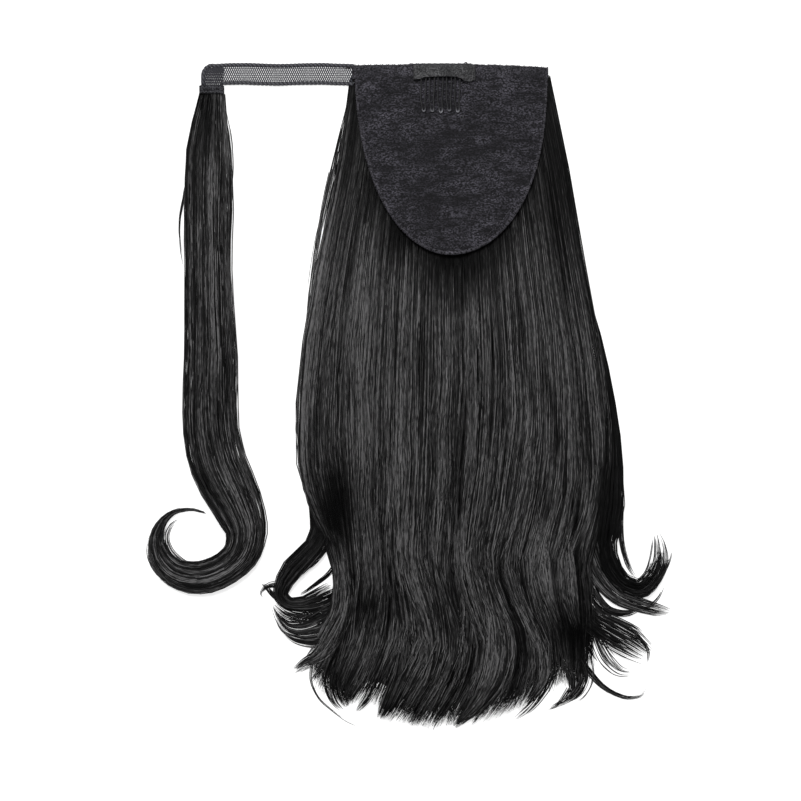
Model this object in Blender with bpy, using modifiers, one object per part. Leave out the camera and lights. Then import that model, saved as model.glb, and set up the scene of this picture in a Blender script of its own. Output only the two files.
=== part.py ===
# Wrap-around ponytail hairpiece, lying on a surface with the inner side of its cap up.
# Metres, +Z up, +Y towards the cap's top edge. The origin is on the surface, under the top band's middle.
import math

import bmesh
import bpy
from mathutils import Vector

# The gap that sewn or resting pieces keep to each other
CLEARANCE = 0.0004

# The fall of hair under the cap
HAIR_LENGTH = 0.431
FALL_LEFT = 0.0975
FALL_RIGHT = 0.1120
LOCK_WIDTH = 0.0320
HAIR_DEPTH = 0.0190
HAIR_TOP_INSET = 0.0012
RIDGE_DEPTH = 0.0022
LOCK_LIFT = 0.0007

# The cap: a tongue of stretch fabric under a folded band
CAP_WIDTH = 0.1218
CAP_DEPTH = 0.1230
CAP_WALL = 0.0014
CRINKLE_DEPTH = 0.00045
CRINKLE_PITCH = 0.0145
BAND_HEIGHT = 0.0096
BAND_WALL = 0.0018
BAND_OVERHANG = 0.0018
BINDING_RADIUS = 0.0012

# The wire comb and the tape over its spine
COMB_TEETH = 5
COMB_PITCH = 0.0054
TOOTH_LENGTH = 0.0272
TOOTH_WIDTH = 0.0030
WIRE_RADIUS = 0.00045
SPINE_RADIUS = 0.0009
COMB_OFFSET = -0.0064
COVER_WIDTH = 0.0395
COVER_WALL = 0.0010
COVER_HEIGHT = 0.0079
COVER_DROP = 0.0012
COVER_SHIFT = 0.0026

# The wrap strap and the strand on its end
STRAP_LENGTH = 0.0960
STRAP_WIDTH = 0.0140
STRAP_DROP = -0.0015
EDGE_RADIUS = 0.00125
NET_WALL = 0.0010
NET_COLUMNS = 36
NET_ROWS = 3
NET_THREAD = 0.0009
CORNER_RADIUS = 0.0065
WEFT_WIDTH = 0.0158
WEFT_HEIGHT = 0.0052
WEFT_DEPTH = 0.0042
WEFT_OVERHANG = 0.0010
STRAND_DROP = 0.3160
STRAND_WIDTH = 0.0292
STRAND_DEPTH = 0.0100
SURFACE_GAP = 0.0002

# Sections of the fall: how far down it is as a share of its length, how far each side has spread
# from the cap's width to the fall's, and how thick it is as a share of its depth
FALL_SECTIONS = [
    # down, left spread, right spread, crown
    (0.000, 0.00, 0.00, 0.20),
    (0.035, 0.02, 0.03, 0.26),
    (0.065, 0.09, 0.10, 0.33),
    (0.125, 0.27, 0.22, 0.47),
    (0.170, 0.38, 0.32, 0.58),
    (0.230, 0.51, 0.40, 0.72),
    (0.290, 0.60, 0.47, 0.84),
    (0.350, 0.73, 0.56, 0.93),
    (0.425, 0.87, 0.71, 0.99),
    (0.495, 0.93, 0.87, 1.00),
    (0.585, 1.00, 0.99, 1.00),
    (0.660, 0.85, 0.99, 1.00),
    (0.710, 0.56, 0.86, 0.97),
    (0.765, 0.42, 0.76, 0.93),
    (0.810, 0.42, 0.62, 0.88),
    (0.855, 0.42, 0.52, 0.80),
    (0.890, 0.44, 0.34, 0.68),
    (0.920, 0.28, 0.00, 0.52),
    (0.940, -0.15, -0.25, 0.30),
]
FALL_COLUMNS = 44
FALL_ROWS = 30
RIDGE_COUNT = 11
EDGE_SHARE = 0.12
CROWN_POWER = 3.0

# The sideways sway of the locks towards their ends, in widths of one ridge
SWAY_SECTIONS = [
    # down, sway
    (0.00, 0.0),
    (0.50, 0.0),
    (0.70, 0.2),
    (0.78, 0.9),
    (0.86, 1.2),
    (0.94, -0.2),
    (1.00, -1.0),
]

# Locks that leave the body of the fall, each a band of hair through a few places. Across is a share of
# the fall's reach on that side, down is a share of the hair's length, width and depth are shares of
# the lock width and the hair's depth.
LOCKS = {
    "left_loop": [
        (-0.710, 0.650, 0.48, 0.17), (-0.780, 0.690, 0.68, 0.26), (-0.885, 0.720, 0.54, 0.33),
        (-0.985, 0.745, 0.46, 0.37), (-1.070, 0.765, 0.38, 0.34), (-1.115, 0.780, 0.26, 0.31),
        (-1.065, 0.795, 0.24, 0.28), (-0.945, 0.795, 0.26, 0.24), (-0.825, 0.790, 0.34, 0.20),
        (-0.710, 0.785, 0.44, 0.16),
    ],
    "left_fan": [
        (-0.645, 0.770, 0.88, 0.13), (-0.735, 0.810, 0.76, 0.24), (-0.865, 0.835, 0.52, 0.27),
        (-1.000, 0.840, 0.36, 0.23), (-1.105, 0.830, 0.20, 0.18), (-1.170, 0.805, 0.06, 0.12),
    ],
    "left_wisp": [
        (-0.655, 0.835, 0.60, 0.12), (-0.790, 0.865, 0.44, 0.26), (-0.905, 0.880, 0.20, 0.20),
        (-1.025, 0.895, 0.04, 0.11),
    ],
    "left_twig": [
        (-0.755, 0.860, 0.44, 0.10), (-0.840, 0.890, 0.24, 0.20), (-0.905, 0.915, 0.06, 0.10),
    ],
    "tip_1": [
        (-0.580, 0.825, 0.88, 0.20), (-0.645, 0.880, 0.92, 0.44), (-0.695, 0.925, 0.56, 0.33),
        (-0.705, 0.950, 0.16, 0.19),
    ],
    "tip_2": [
        (-0.420, 0.875, 0.52, 0.12), (-0.505, 0.915, 0.36, 0.26), (-0.570, 0.940, 0.20, 0.20),
        (-0.615, 0.960, 0.04, 0.11),
    ],
    "tip_3": [
        (-0.315, 0.835, 0.80, 0.22), (-0.355, 0.895, 0.76, 0.49), (-0.420, 0.945, 0.54, 0.37),
        (-0.460, 0.970, 0.28, 0.21),
    ],
    "tip_4": [
        (-0.150, 0.835, 0.80, 0.24), (-0.185, 0.895, 0.72, 0.53), (-0.265, 0.945, 0.56, 0.40),
        (-0.350, 0.980, 0.16, 0.23),
    ],
    "tip_5": [
        (0.000, 0.835, 0.80, 0.25), (-0.005, 0.895, 0.76, 0.55), (-0.080, 0.950, 0.64, 0.41),
        (-0.205, 0.990, 0.18, 0.24),
    ],
    "tip_6": [
        (0.135, 0.835, 0.80, 0.25), (0.135, 0.895, 0.76, 0.55), (0.070, 0.945, 0.64, 0.41),
        (-0.025, 0.975, 0.24, 0.24),
    ],
    "tip_7": [
        (0.285, 0.835, 0.80, 0.24), (0.285, 0.895, 0.76, 0.53), (0.225, 0.945, 0.60, 0.40),
        (0.110, 0.980, 0.22, 0.23),
    ],
    "tip_8": [
        (0.410, 0.835, 0.76, 0.22), (0.425, 0.890, 0.64, 0.49), (0.365, 0.935, 0.48, 0.37),
        (0.245, 0.975, 0.14, 0.21),
    ],
    "tip_9": [
        (0.505, 0.835, 0.64, 0.18), (0.535, 0.880, 0.52, 0.41), (0.490, 0.920, 0.36, 0.30),
        (0.360, 0.965, 0.08, 0.17),
    ],
    "tip_10": [
        (0.585, 0.835, 0.68, 0.16), (0.665, 0.875, 0.56, 0.35), (0.715, 0.905, 0.44, 0.27),
        (0.655, 0.940, 0.10, 0.15),
    ],
    "right_hook": [
        (0.845, 0.645, 0.48, 0.18), (0.875, 0.705, 0.60, 0.29), (0.925, 0.740, 0.52, 0.39),
        (0.995, 0.765, 0.38, 0.36), (1.085, 0.775, 0.38, 0.32), (1.165, 0.760, 0.32, 0.28),
        (1.210, 0.735, 0.20, 0.22), (1.210, 0.715, 0.06, 0.17),
    ],
    "right_strip": [
        (0.955, 0.650, 0.16, 0.10), (0.970, 0.690, 0.18, 0.22), (0.990, 0.715, 0.12, 0.20),
        (1.015, 0.740, 0.10, 0.16), (1.065, 0.760, 0.10, 0.10),
    ],
    "right_wing": [
        (0.790, 0.710, 0.52, 0.14), (0.865, 0.755, 0.54, 0.27), (0.955, 0.780, 0.40, 0.30),
        (1.075, 0.795, 0.28, 0.26), (1.175, 0.805, 0.20, 0.20), (1.265, 0.810, 0.06, 0.14),
    ],
    "right_band": [
        (0.770, 0.755, 0.52, 0.11), (0.835, 0.795, 0.36, 0.25), (0.945, 0.810, 0.16, 0.19),
        (1.085, 0.810, 0.10, 0.11),
    ],
    "right_fan": [
        (0.720, 0.790, 0.64, 0.13), (0.810, 0.825, 0.56, 0.27), (0.925, 0.845, 0.56, 0.25),
        (1.040, 0.860, 0.44, 0.19), (1.130, 0.880, 0.08, 0.12),
    ],
    "right_stray": [
        (0.695, 0.830, 0.44, 0.09), (0.790, 0.875, 0.24, 0.18), (0.875, 0.910, 0.12, 0.17),
        (0.970, 0.930, 0.08, 0.13), (1.085, 0.935, 0.04, 0.08),
    ],
}
LOCK_STEPS = 2

# The wrap strand: across and down are shares of its drop, width and depth of its own sizes
STRAND_SECTIONS = [
    # across, down, width, depth
    (0.000, 0.000, 0.54, 0.42),
    (0.000, 0.050, 0.79, 0.70),
    (-0.005, 0.115, 0.94, 0.92),
    (-0.010, 0.215, 0.94, 1.00),
    (-0.005, 0.415, 1.01, 1.00),
    (-0.005, 0.515, 1.06, 1.00),
    (-0.005, 0.615, 1.06, 1.00),
    (0.000, 0.695, 1.17, 1.00),
    (0.020, 0.755, 1.12, 1.00),
    (0.045, 0.815, 0.99, 1.00),
    (0.065, 0.875, 0.81, 0.97),
    (0.060, 0.930, 0.70, 0.90),
    (0.030, 0.970, 0.63, 0.82),
    (-0.025, 0.980, 0.61, 0.75),
    (-0.075, 0.965, 0.54, 0.65),
    (-0.105, 0.940, 0.43, 0.55),
    (-0.115, 0.900, 0.31, 0.45),
    (-0.100, 0.865, 0.20, 0.34),
    (-0.065, 0.840, 0.11, 0.22),
    (-0.040, 0.835, 0.04, 0.12),
]
STRAND_STATIONS = 34


def table_value(rows, column, at):
    """A column of a table at a place along it, on a smooth curve through the rows."""
    last = len(rows) - 1
    after = max(next((i for i, row in enumerate(rows) if row[0] >= at), last), 1)
    before = after - 1
    span = rows[after][0] - rows[before][0]
    share = min(max((at - rows[before][0]) / span, 0.0), 1.0)
    far_before, far_after = max(before - 1, 0), min(after + 1, last)
    rise = rows[after][column] - rows[before][column]
    run_in = rows[after][0] - rows[far_before][0]
    run_out = rows[far_after][0] - rows[before][0]
    slope_in = (rows[after][column] - rows[far_before][column]) / run_in * span
    slope_out = (rows[far_after][column] - rows[before][column]) / run_out * span
    curve = (1 - share) * (slope_in - rise) - share * (slope_out - rise)
    return rows[before][column] + rise * share + share * (1 - share) * curve


def top_edge():
    """Where the cap's top edge is along Y."""
    return BAND_HEIGHT / 2


def fall_row(down):
    """The fall's left and right edge and its crown at a share of its length."""
    cap_half = CAP_WIDTH / 2
    left = -(cap_half + (FALL_LEFT - cap_half) * table_value(FALL_SECTIONS, 1, down))
    right = cap_half + (FALL_RIGHT - cap_half) * table_value(FALL_SECTIONS, 2, down)
    crown = HAIR_DEPTH * table_value(FALL_SECTIONS, 3, down)
    return left, right, crown


def down_share(y):
    return (top_edge() - HAIR_TOP_INSET - y) / HAIR_LENGTH


def hair_height(x, y):
    """The smooth top of the fall above the surface, without its ridges."""
    left, right, crown = fall_row(max(down_share(y), 0.0))
    across = (2 * x - left - right) / (right - left)
    swell = max(1 - abs(across) ** CROWN_POWER, 0.0)
    return crown * (EDGE_SHARE + (1 - EDGE_SHARE) * swell)


def hair_normal(x, y):
    step = CLEARANCE
    slope_x = (hair_height(x + step, y) - hair_height(x - step, y)) / (2 * step)
    slope_y = (hair_height(x, y + step) - hair_height(x, y - step)) / (2 * step)
    return Vector((-slope_x, -slope_y, 1)).normalized()


def cap_half_width(below, inset):
    """Half the cap's width at a distance below its top edge, for an outline that is inset all round."""
    down = below / (CAP_DEPTH - inset)
    return (CAP_WIDTH / 2 - inset) * math.sqrt(max(1 - down**2.15, 0.0))


def material(name, colour, roughness, metallic=0.0):
    made = bpy.data.materials.new(name)
    made.use_nodes = True
    shader = made.node_tree.nodes["Principled BSDF"]
    shader.inputs["Base Color"].default_value = (*colour, 1)
    shader.inputs["Roughness"].default_value = roughness
    shader.inputs["Metallic"].default_value = metallic
    return made


def add_mesh(name, mesh_data, collection, finish):
    made = bpy.data.objects.new(name, mesh_data)
    collection.objects.link(made)
    if finish:
        mesh_data.materials.append(finish)
    return made


def loft(name, rings, collection, finish=None):
    """A closed solid through rings of the same number of points."""
    shape = bmesh.new()
    loops = [[shape.verts.new(point) for point in ring] for ring in rings]
    count = len(rings[0])
    for near, far in zip(loops, loops[1:]):
        for i in range(count):
            j = (i + 1) % count
            shape.faces.new((near[i], near[j], far[j], far[i]))
    shape.faces.new(loops[0][::-1])
    shape.faces.new(loops[-1])
    bmesh.ops.recalc_face_normals(shape, faces=shape.faces)
    data = bpy.data.meshes.new(name)
    shape.to_mesh(data)
    shape.free()
    return add_mesh(name, data, collection, finish)


def union(target, others):
    """Fuses every object of a collection into the target."""
    joined = target.modifiers.new("fuse", "BOOLEAN")
    joined.operation = "UNION"
    joined.operand_type = "COLLECTION"
    joined.collection = others
    joined.solver = "EXACT"
    joined.use_self = True


def hair_body(collection, finish):
    """The fall without its loose ends: a crowned mat with a flat underside and ridges that sway."""
    shape = bmesh.new()
    top_rows, low_rows = [], []
    last_down = FALL_SECTIONS[-1][0]
    for i in range(FALL_ROWS + 1):
        down = last_down * i / FALL_ROWS
        y = top_edge() - HAIR_TOP_INSET - HAIR_LENGTH * down
        left, right, _ = fall_row(down)
        ridge_share = min(max((y + CAP_DEPTH) / (-HAIR_LENGTH * 0.35), 0.0), 1.0)
        sway = table_value(SWAY_SECTIONS, 1, down)
        top_row, low_row = [], []
        for j in range(FALL_COLUMNS + 1):
            across = -math.cos(math.pi * (0.08 + 0.84 * j / FALL_COLUMNS)) / math.cos(math.pi * 0.08)
            x = (left + right) / 2 + (right - left) / 2 * across
            valley = 0.5 - 0.5 * math.cos(2 * math.pi * (RIDGE_COUNT * (across + 1) / 2 - sway))
            depth = RIDGE_DEPTH * ridge_share * valley * (1 - across**2)
            top_row.append(shape.verts.new((x, y, hair_height(x, y) - depth)))
            on_rim = i in (0, FALL_ROWS) or j in (0, FALL_COLUMNS)
            low_row.append(shape.verts.new((x, y, 0)) if on_rim else None)
        top_rows.append(top_row)
        low_rows.append(low_row)
    for near, far in zip(top_rows, top_rows[1:]):
        for j in range(FALL_COLUMNS):
            shape.faces.new((near[j], far[j], far[j + 1], near[j + 1]))
    rim_top = top_rows[0] + [row[-1] for row in top_rows[1:]]
    rim_top += top_rows[-1][-2::-1] + [row[0] for row in top_rows[-2:0:-1]]
    rim_low = low_rows[0] + [row[-1] for row in low_rows[1:]]
    rim_low += low_rows[-1][-2::-1] + [row[0] for row in low_rows[-2:0:-1]]
    for i in range(len(rim_top)):
        j = (i + 1) % len(rim_top)
        shape.faces.new((rim_top[i], rim_top[j], rim_low[j], rim_low[i]))
    shape.faces.new(rim_low)
    bmesh.ops.recalc_face_normals(shape, faces=shape.faces)
    data = bpy.data.meshes.new("ponytail_hair")
    shape.to_mesh(data)
    shape.free()
    return add_mesh("ponytail_hair", data, collection, finish)


def band_ring(centre, side, half_width, depth, low):
    """A flat-bottomed, round-topped section of a lock."""
    outline = [(-1, 0), (-0.75, 0.75), (0, 1), (0.75, 0.75), (1, 0)]
    return [centre + side * (half_width * a) + Vector((0, 0, low + depth * b)) for a, b in outline]


def smooth_point(rows, place):
    """A row between the rows of a table, on a Catmull-Rom curve."""
    last = len(rows) - 1
    before = min(int(place), last - 1)
    share = place - before
    p0, p1 = rows[max(before - 1, 0)], rows[before]
    p2, p3 = rows[before + 1], rows[min(before + 2, last)]
    made = []
    for a, b, c, d in zip(p0, p1, p2, p3):
        value = 2 * b + (c - a) * share + (2 * a - 5 * b + 4 * c - d) * share**2
        made.append((value + (3 * b - a - 3 * c + d) * share**3) / 2)
    return made


def band_of_hair(name, stations, low, collection, finish=None):
    """A lock through stations of place, half width and depth."""
    rings = []
    last = len(stations) - 1
    for i, (place, half, depth) in enumerate(stations):
        before, after = stations[max(i - 1, 0)][0], stations[min(i + 1, last)][0]
        along = (after - before).normalized()
        side = Vector((-along.y, along.x, 0))
        rings.append(band_ring(place, side, half, depth, low))
    return loft(name, rings, collection, finish)


def lock(name, rows, collection):
    """One lock that leaves the body of the fall."""
    count = (len(rows) - 1) * LOCK_STEPS
    stations = []
    for i in range(count + 1):
        across, down, width, depth = smooth_point(rows, (len(rows) - 1) * i / count)
        reach = FALL_LEFT if across < 0 else FALL_RIGHT
        place = Vector((reach * across, top_edge() - HAIR_TOP_INSET - HAIR_LENGTH * down, 0))
        stations.append((place, LOCK_WIDTH * width / 2, HAIR_DEPTH * depth))
    return band_of_hair("lock_" + name, stations, LOCK_LIFT, collection)


def ponytail_hair(parts, helpers, finish):
    body = hair_body(parts, finish)
    locks = bpy.data.collections.new("locks")
    helpers.children.link(locks)
    for name, rows in LOCKS.items():
        made = lock(name, rows, locks)
        made.hide_render = True
        made.display_type = "WIRE"
    union(body, locks)
    return body


def crinkle(x, y):
    """The broad gathers that run across the cap, which break up and wander."""
    across, along = x / CAP_WIDTH, y / CAP_DEPTH
    wander = 1.4 * math.sin(across * 7.6) + 0.8 * math.sin(across * 16 + along * 5.8)
    patchy = 0.65 + 0.35 * math.sin(across * 10.4 + along * 4.1)
    return CRINKLE_DEPTH * patchy * math.sin(y * 2 * math.pi / CRINKLE_PITCH + wander)


def sheet(name, columns, rows, place, wall, collection, finish):
    """A grid laid by a rule, then thickened upwards."""
    shape = bmesh.new()
    bmesh.ops.create_grid(shape, x_segments=columns, y_segments=rows, size=1)
    for vertex in shape.verts:
        vertex.co = place(vertex.co.x, (vertex.co.y + 1) / 2)
    bmesh.ops.recalc_face_normals(shape, faces=shape.faces)
    if sum(face.normal.z for face in shape.faces) < 0:
        bmesh.ops.reverse_faces(shape, faces=shape.faces)
    data = bpy.data.meshes.new(name)
    shape.to_mesh(data)
    shape.free()
    made = add_mesh(name, data, collection, finish)
    thick = made.modifiers.new("wall", "SOLIDIFY")
    thick.thickness = wall
    thick.offset = 1
    return made


def cap_panel(collection, finish):
    """The tongue, inside its binding and under the band."""
    inset = 2 * BINDING_RADIUS + 1.5 * CLEARANCE
    start = BAND_HEIGHT + CLEARANCE
    last = (CAP_DEPTH - inset) * 0.9995 - start

    def place(across, down):
        below = start + last * (1 - (1 - down) ** 1.5)
        y = top_edge() - below
        x = cap_half_width(below, inset) * across
        return Vector((x, y, hair_height(x, y) + CLEARANCE + CRINKLE_DEPTH + crinkle(x, y)))

    return sheet("cap_panel", 14, 36, place, CAP_WALL, collection, finish)


def cap_top_band(collection, finish):
    """The folded band along the straight edge, a little longer than the panel is wide."""

    def place(across, down):
        x = (CAP_WIDTH / 2 + BAND_OVERHANG) * across
        y = top_edge() - BAND_HEIGHT * down
        return Vector((x, y, hair_height(x, y) + CLEARANCE))

    made = sheet("cap_top_band", 20, 2, place, BAND_WALL, collection, finish)
    rounding = made.modifiers.new("fold", "BEVEL")
    rounding.width = BAND_WALL * 0.3
    rounding.segments = 1
    rounding.limit_method = "ANGLE"
    rounding.angle_limit = math.radians(50)
    return made


def tube(name, points, radius, collection, finish, sides=1, closed=False):
    """A wire or cord as a curve object with filled caps."""
    data = bpy.data.curves.new(name, "CURVE")
    data.dimensions = "3D"
    data.bevel_depth = radius
    data.bevel_resolution = sides
    data.use_fill_caps = True
    line = data.splines.new("POLY")
    line.points.add(len(points) - 1)
    for target, point in zip(line.points, points):
        target.co = (*point, 1)
    line.use_cyclic_u = closed
    data.materials.append(finish)
    made = bpy.data.objects.new(name, data)
    collection.objects.link(made)
    return made


def cap_edge_binding(collection, finish):
    """The rolled hem round the tongue, from the band down and back up."""
    points = []
    steps = 44
    depth = CAP_DEPTH - BINDING_RADIUS
    first = math.asin((BAND_HEIGHT + CLEARANCE) / depth)
    for i in range(steps + 1):
        below = depth * math.sin(first + (math.pi - 2 * first) * i / steps)
        side = -1 if i < steps / 2 else 1
        x = side * cap_half_width(below, BINDING_RADIUS)
        y = top_edge() - below
        lift = hair_normal(x, y) * (BINDING_RADIUS + CLEARANCE)
        points.append(Vector((x, y, hair_height(x, y))) + lift)
    return tube("cap_edge_binding", points, BINDING_RADIUS, collection, finish)


def cap_top(x, y):
    """The highest that the cap's upper side can be at a place, with its gathers."""
    return hair_height(x, y) + CLEARANCE + 2 * CRINKLE_DEPTH + max(CAP_WALL, BAND_WALL)


def comb_plane(y):
    """The height of the comb's wire, which lies along the cap under the cover."""
    return cap_top(COMB_OFFSET, y) + CLEARANCE + SPINE_RADIUS


def tooth_points(middle, top, bottom):
    """One U-shaped tooth that narrows to its tip, down and back up."""
    points = []
    for side in (-1, 1):
        leg = []
        for share, spread in ((0.0, 1.0), (0.55, 0.96), (0.8, 0.74), (0.95, 0.66), (1.0, 0.34)):
            y = top + (bottom - top) * share
            leg.append(Vector((middle + side * spread * TOOTH_WIDTH / 2, y, comb_plane(y))))
        points += leg if side < 0 else leg[::-1]
    return points


def comb(parts, helpers, finish):
    """One bent wire with a spine rod soldered across its upper bends."""
    spine_y = BAND_HEIGHT * 0.05
    bottom = spine_y - TOOTH_LENGTH
    points = []
    for i in range(COMB_TEETH):
        middle = COMB_OFFSET + (i - (COMB_TEETH - 1) / 2) * COMB_PITCH
        points += tooth_points(middle, spine_y, bottom)
    wire = tube("comb_wire", points, WIRE_RADIUS, helpers, finish)
    wire.hide_render = True
    wire.display_type = "WIRE"
    graph = bpy.context.evaluated_depsgraph_get()
    data = bpy.data.meshes.new_from_object(wire.evaluated_get(graph))
    shape = bmesh.new()
    shape.from_mesh(data)
    bmesh.ops.remove_doubles(shape, verts=shape.verts, dist=0.00001)
    shape.to_mesh(data)
    shape.free()
    fused = bpy.data.collections.new("comb_wire_shape")
    helpers.children.link(fused)
    bent = add_mesh("bent_wire", data, fused, None)
    bent.matrix_world = wire.matrix_world
    bent.hide_render = True
    bent.display_type = "WIRE"
    bpy.data.objects.remove(wire)
    length = COMB_PITCH * (COMB_TEETH - 1) + TOOTH_WIDTH + 4 * WIRE_RADIUS
    bpy.ops.mesh.primitive_cylinder_add(vertices=8, radius=SPINE_RADIUS, depth=length)
    spine = bpy.context.object
    spine.name = spine.data.name = "comb"
    spine.location = (COMB_OFFSET, spine_y, comb_plane(spine_y))
    spine.rotation_euler = (0, math.pi / 2, 0)
    for owner in list(spine.users_collection):
        owner.objects.unlink(spine)
    parts.objects.link(spine)
    spine.data.materials.append(finish)
    union(spine, fused)
    return spine


def box_between(name, low, high, collection, finish=None):
    bpy.ops.mesh.primitive_cube_add(size=1)
    made = bpy.context.object
    made.name = made.data.name = name
    for owner in list(made.users_collection):
        owner.objects.unlink(made)
    collection.objects.link(made)
    middle, size = (Vector(low) + Vector(high)) / 2, Vector(high) - Vector(low)
    for vertex in made.data.vertices:
        vertex.co = Vector(a * b for a, b in zip(vertex.co, size)) + middle
    if finish:
        made.data.materials.append(finish)
    return made


def comb_cover(parts, helpers, finish):
    """The tape over the comb's spine: a pocket that is open where the teeth come out."""
    half = COVER_WIDTH / 2
    middle = COMB_OFFSET + COVER_SHIFT
    upper = top_edge() - COVER_DROP
    lower = upper - COVER_HEIGHT
    low = cap_top(middle, top_edge()) - 2 * CRINKLE_DEPTH + CLEARANCE
    low = max(low, cap_top(middle, -top_edge()) - 2 * CRINKLE_DEPTH + CLEARANCE)
    inner_top = comb_plane(0) + SPINE_RADIUS + CLEARANCE
    top = inner_top + COVER_WALL
    cover = box_between(
        "comb_cover", (middle - half, lower, low), (middle + half, upper, top), parts, finish
    )
    wire_half = (COMB_PITCH * (COMB_TEETH - 1) + TOOTH_WIDTH) / 2 + 4 * WIRE_RADIUS + CLEARANCE
    pocket = box_between(
        "cover_pocket",
        (COMB_OFFSET - wire_half, lower - COVER_WALL, low - COVER_WALL),
        (COMB_OFFSET + wire_half, upper - 1.2 * COVER_WALL, inner_top),
        helpers,
    )
    pocket.hide_render = True
    pocket.display_type = "WIRE"
    rounding = cover.modifiers.new("soft_edge", "BEVEL")
    rounding.width = COVER_WALL * 0.45
    rounding.segments = 1
    cut = cover.modifiers.new("pocket", "BOOLEAN")
    cut.operation = "DIFFERENCE"
    cut.object = pocket
    cut.solver = "EXACT"
    return cover


def strap_right():
    """Where the strap meets the band's end."""
    return -(CAP_WIDTH / 2 + BAND_OVERHANG) - CLEARANCE


def strap_left():
    return strap_right() - STRAP_LENGTH


def strap_edge_centres():
    """The Y of the strap's upper and lower cord."""
    half = STRAP_WIDTH / 2 - EDGE_RADIUS
    return STRAP_DROP + half, STRAP_DROP - half


def edge_height():
    return SURFACE_GAP + EDGE_RADIUS


def weft_top():
    """The Y of the weft's upper side, just under the strap's end."""
    return STRAP_DROP - STRAP_WIDTH / 2 - CLEARANCE


def strap_upper_edge(collection, finish):
    """The cord along the strap's upper side, which turns down round its end to the weft."""
    upper, _ = strap_edge_centres()
    z = edge_height()
    left = strap_left() + EDGE_RADIUS
    points = [Vector((strap_right(), upper, z))]
    straight = 6
    turn_x = left + CORNER_RADIUS
    for i in range(1, straight + 1):
        points.append(Vector((strap_right() + (turn_x - strap_right()) * i / straight, upper, z)))
    corner = 6
    for i in range(1, corner + 1):
        angle = math.pi / 2 * i / corner
        x = turn_x - CORNER_RADIUS * math.sin(angle)
        y = upper - CORNER_RADIUS * (1 - math.cos(angle))
        points.append(Vector((x, y, z)))
    points.append(Vector((left, weft_top() + CLEARANCE, z)))
    return tube("strap_upper_edge", points, EDGE_RADIUS, collection, finish, sides=2)


def strap_lower_edge(collection, finish):
    """The cord along the strap's lower side, from the band to the weft."""
    _, lower = strap_edge_centres()
    z = edge_height()
    left = strap_left() - WEFT_OVERHANG + WEFT_WIDTH + CLEARANCE
    count = 8
    length = strap_right() - left
    points = [Vector((strap_right() - length * i / count, lower, z)) for i in range(count + 1)]
    return tube("strap_lower_edge", points, EDGE_RADIUS, collection, finish, sides=2)


def add_outline(data, corners):
    line = data.splines.new("POLY")
    line.points.add(len(corners) - 1)
    for target, (x, y) in zip(line.points, corners):
        target.co = (x, y, 0, 1)
    line.use_cyclic_u = True


def strap_net(collection, finish):
    """The net web between the cords, cut through in rows of lozenges."""
    upper, lower = strap_edge_centres()
    top, bottom = upper - EDGE_RADIUS - CLEARANCE, lower + EDGE_RADIUS + CLEARANCE
    left, right = strap_left() + 2 * EDGE_RADIUS + CLEARANCE, strap_right()
    inner_corner = CORNER_RADIUS - EDGE_RADIUS - CLEARANCE
    weft_right = strap_left() - WEFT_OVERHANG + WEFT_WIDTH - CLEARANCE
    foot = weft_top() + CLEARANCE
    outline = [(right, bottom), (right, top), (left + inner_corner, top)]
    steps = 5
    for i in range(1, steps + 1):
        angle = math.pi / 2 * i / steps
        x = left + inner_corner * (1 - math.sin(angle))
        outline.append((x, top - inner_corner * (1 - math.cos(angle))))
    outline += [(left, foot), (weft_right, foot), (weft_right, bottom)]
    data = bpy.data.curves.new("strap_net", "CURVE")
    data.dimensions = "2D"
    data.fill_mode = "BOTH"
    data.extrude = NET_WALL / 2
    add_outline(data, outline)
    margin = NET_THREAD * 1.5
    first = left + inner_corner * 0.5 + margin
    pitch_x = (right - margin - first) / NET_COLUMNS
    pitch_y = (top - bottom) / NET_ROWS
    for i in range(NET_COLUMNS):
        for j in range(NET_ROWS):
            x = first + pitch_x * (i + 0.5)
            y = bottom + pitch_y * (j + 0.5)
            half_x, half_y = (pitch_x - NET_THREAD) / 2, (pitch_y - NET_THREAD) / 2
            add_outline(data, [(x - half_x, y), (x, y - half_y), (x + half_x, y), (x, y + half_y)])
    data.materials.append(finish)
    made = bpy.data.objects.new("strap_net", data)
    made.location = (0, 0, edge_height())
    collection.objects.link(made)
    return made


def strand_weft(collection, finish):
    """The gathered, stitched end of the strap that holds the strand."""
    left, top = strap_left() - WEFT_OVERHANG, weft_top()
    rings = []
    steps = 8
    for i in range(steps + 1):
        share = i / steps
        x = left + WEFT_WIDTH * share
        gather = WEFT_DEPTH * 0.1 * (-1) ** i
        depth = WEFT_DEPTH * (0.62 + 0.38 * math.sin(math.pi * share)) + gather
        low, high = top - WEFT_HEIGHT, top
        chamfer = WEFT_DEPTH * 0.22
        outline = [
            (low, SURFACE_GAP),
            (high, SURFACE_GAP),
            (high, depth - chamfer),
            (high - chamfer, depth),
            (low + chamfer, depth),
            (low, depth - chamfer),
        ]
        rings.append([Vector((x, y, z)) for y, z in outline])
    return loft("strand_weft", rings, collection, finish)


def wrap_strand(collection, finish):
    """The lock on the strap's end: straight down, then a full curl at its tip."""
    root_x = strap_left() - WEFT_OVERHANG + WEFT_WIDTH / 2
    root_y = weft_top() - WEFT_HEIGHT - 2 * CLEARANCE
    stations = []
    for i in range(STRAND_STATIONS + 1):
        place = (len(STRAND_SECTIONS) - 1) * i / STRAND_STATIONS
        across, down, width, depth = smooth_point(STRAND_SECTIONS, place)
        spot = Vector((root_x + STRAND_DROP * across, root_y - STRAND_DROP * down, 0))
        stations.append((spot, STRAND_WIDTH * width / 2, STRAND_DEPTH * depth))
    return band_of_hair("wrap_strand", stations, SURFACE_GAP, collection, finish)


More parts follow.
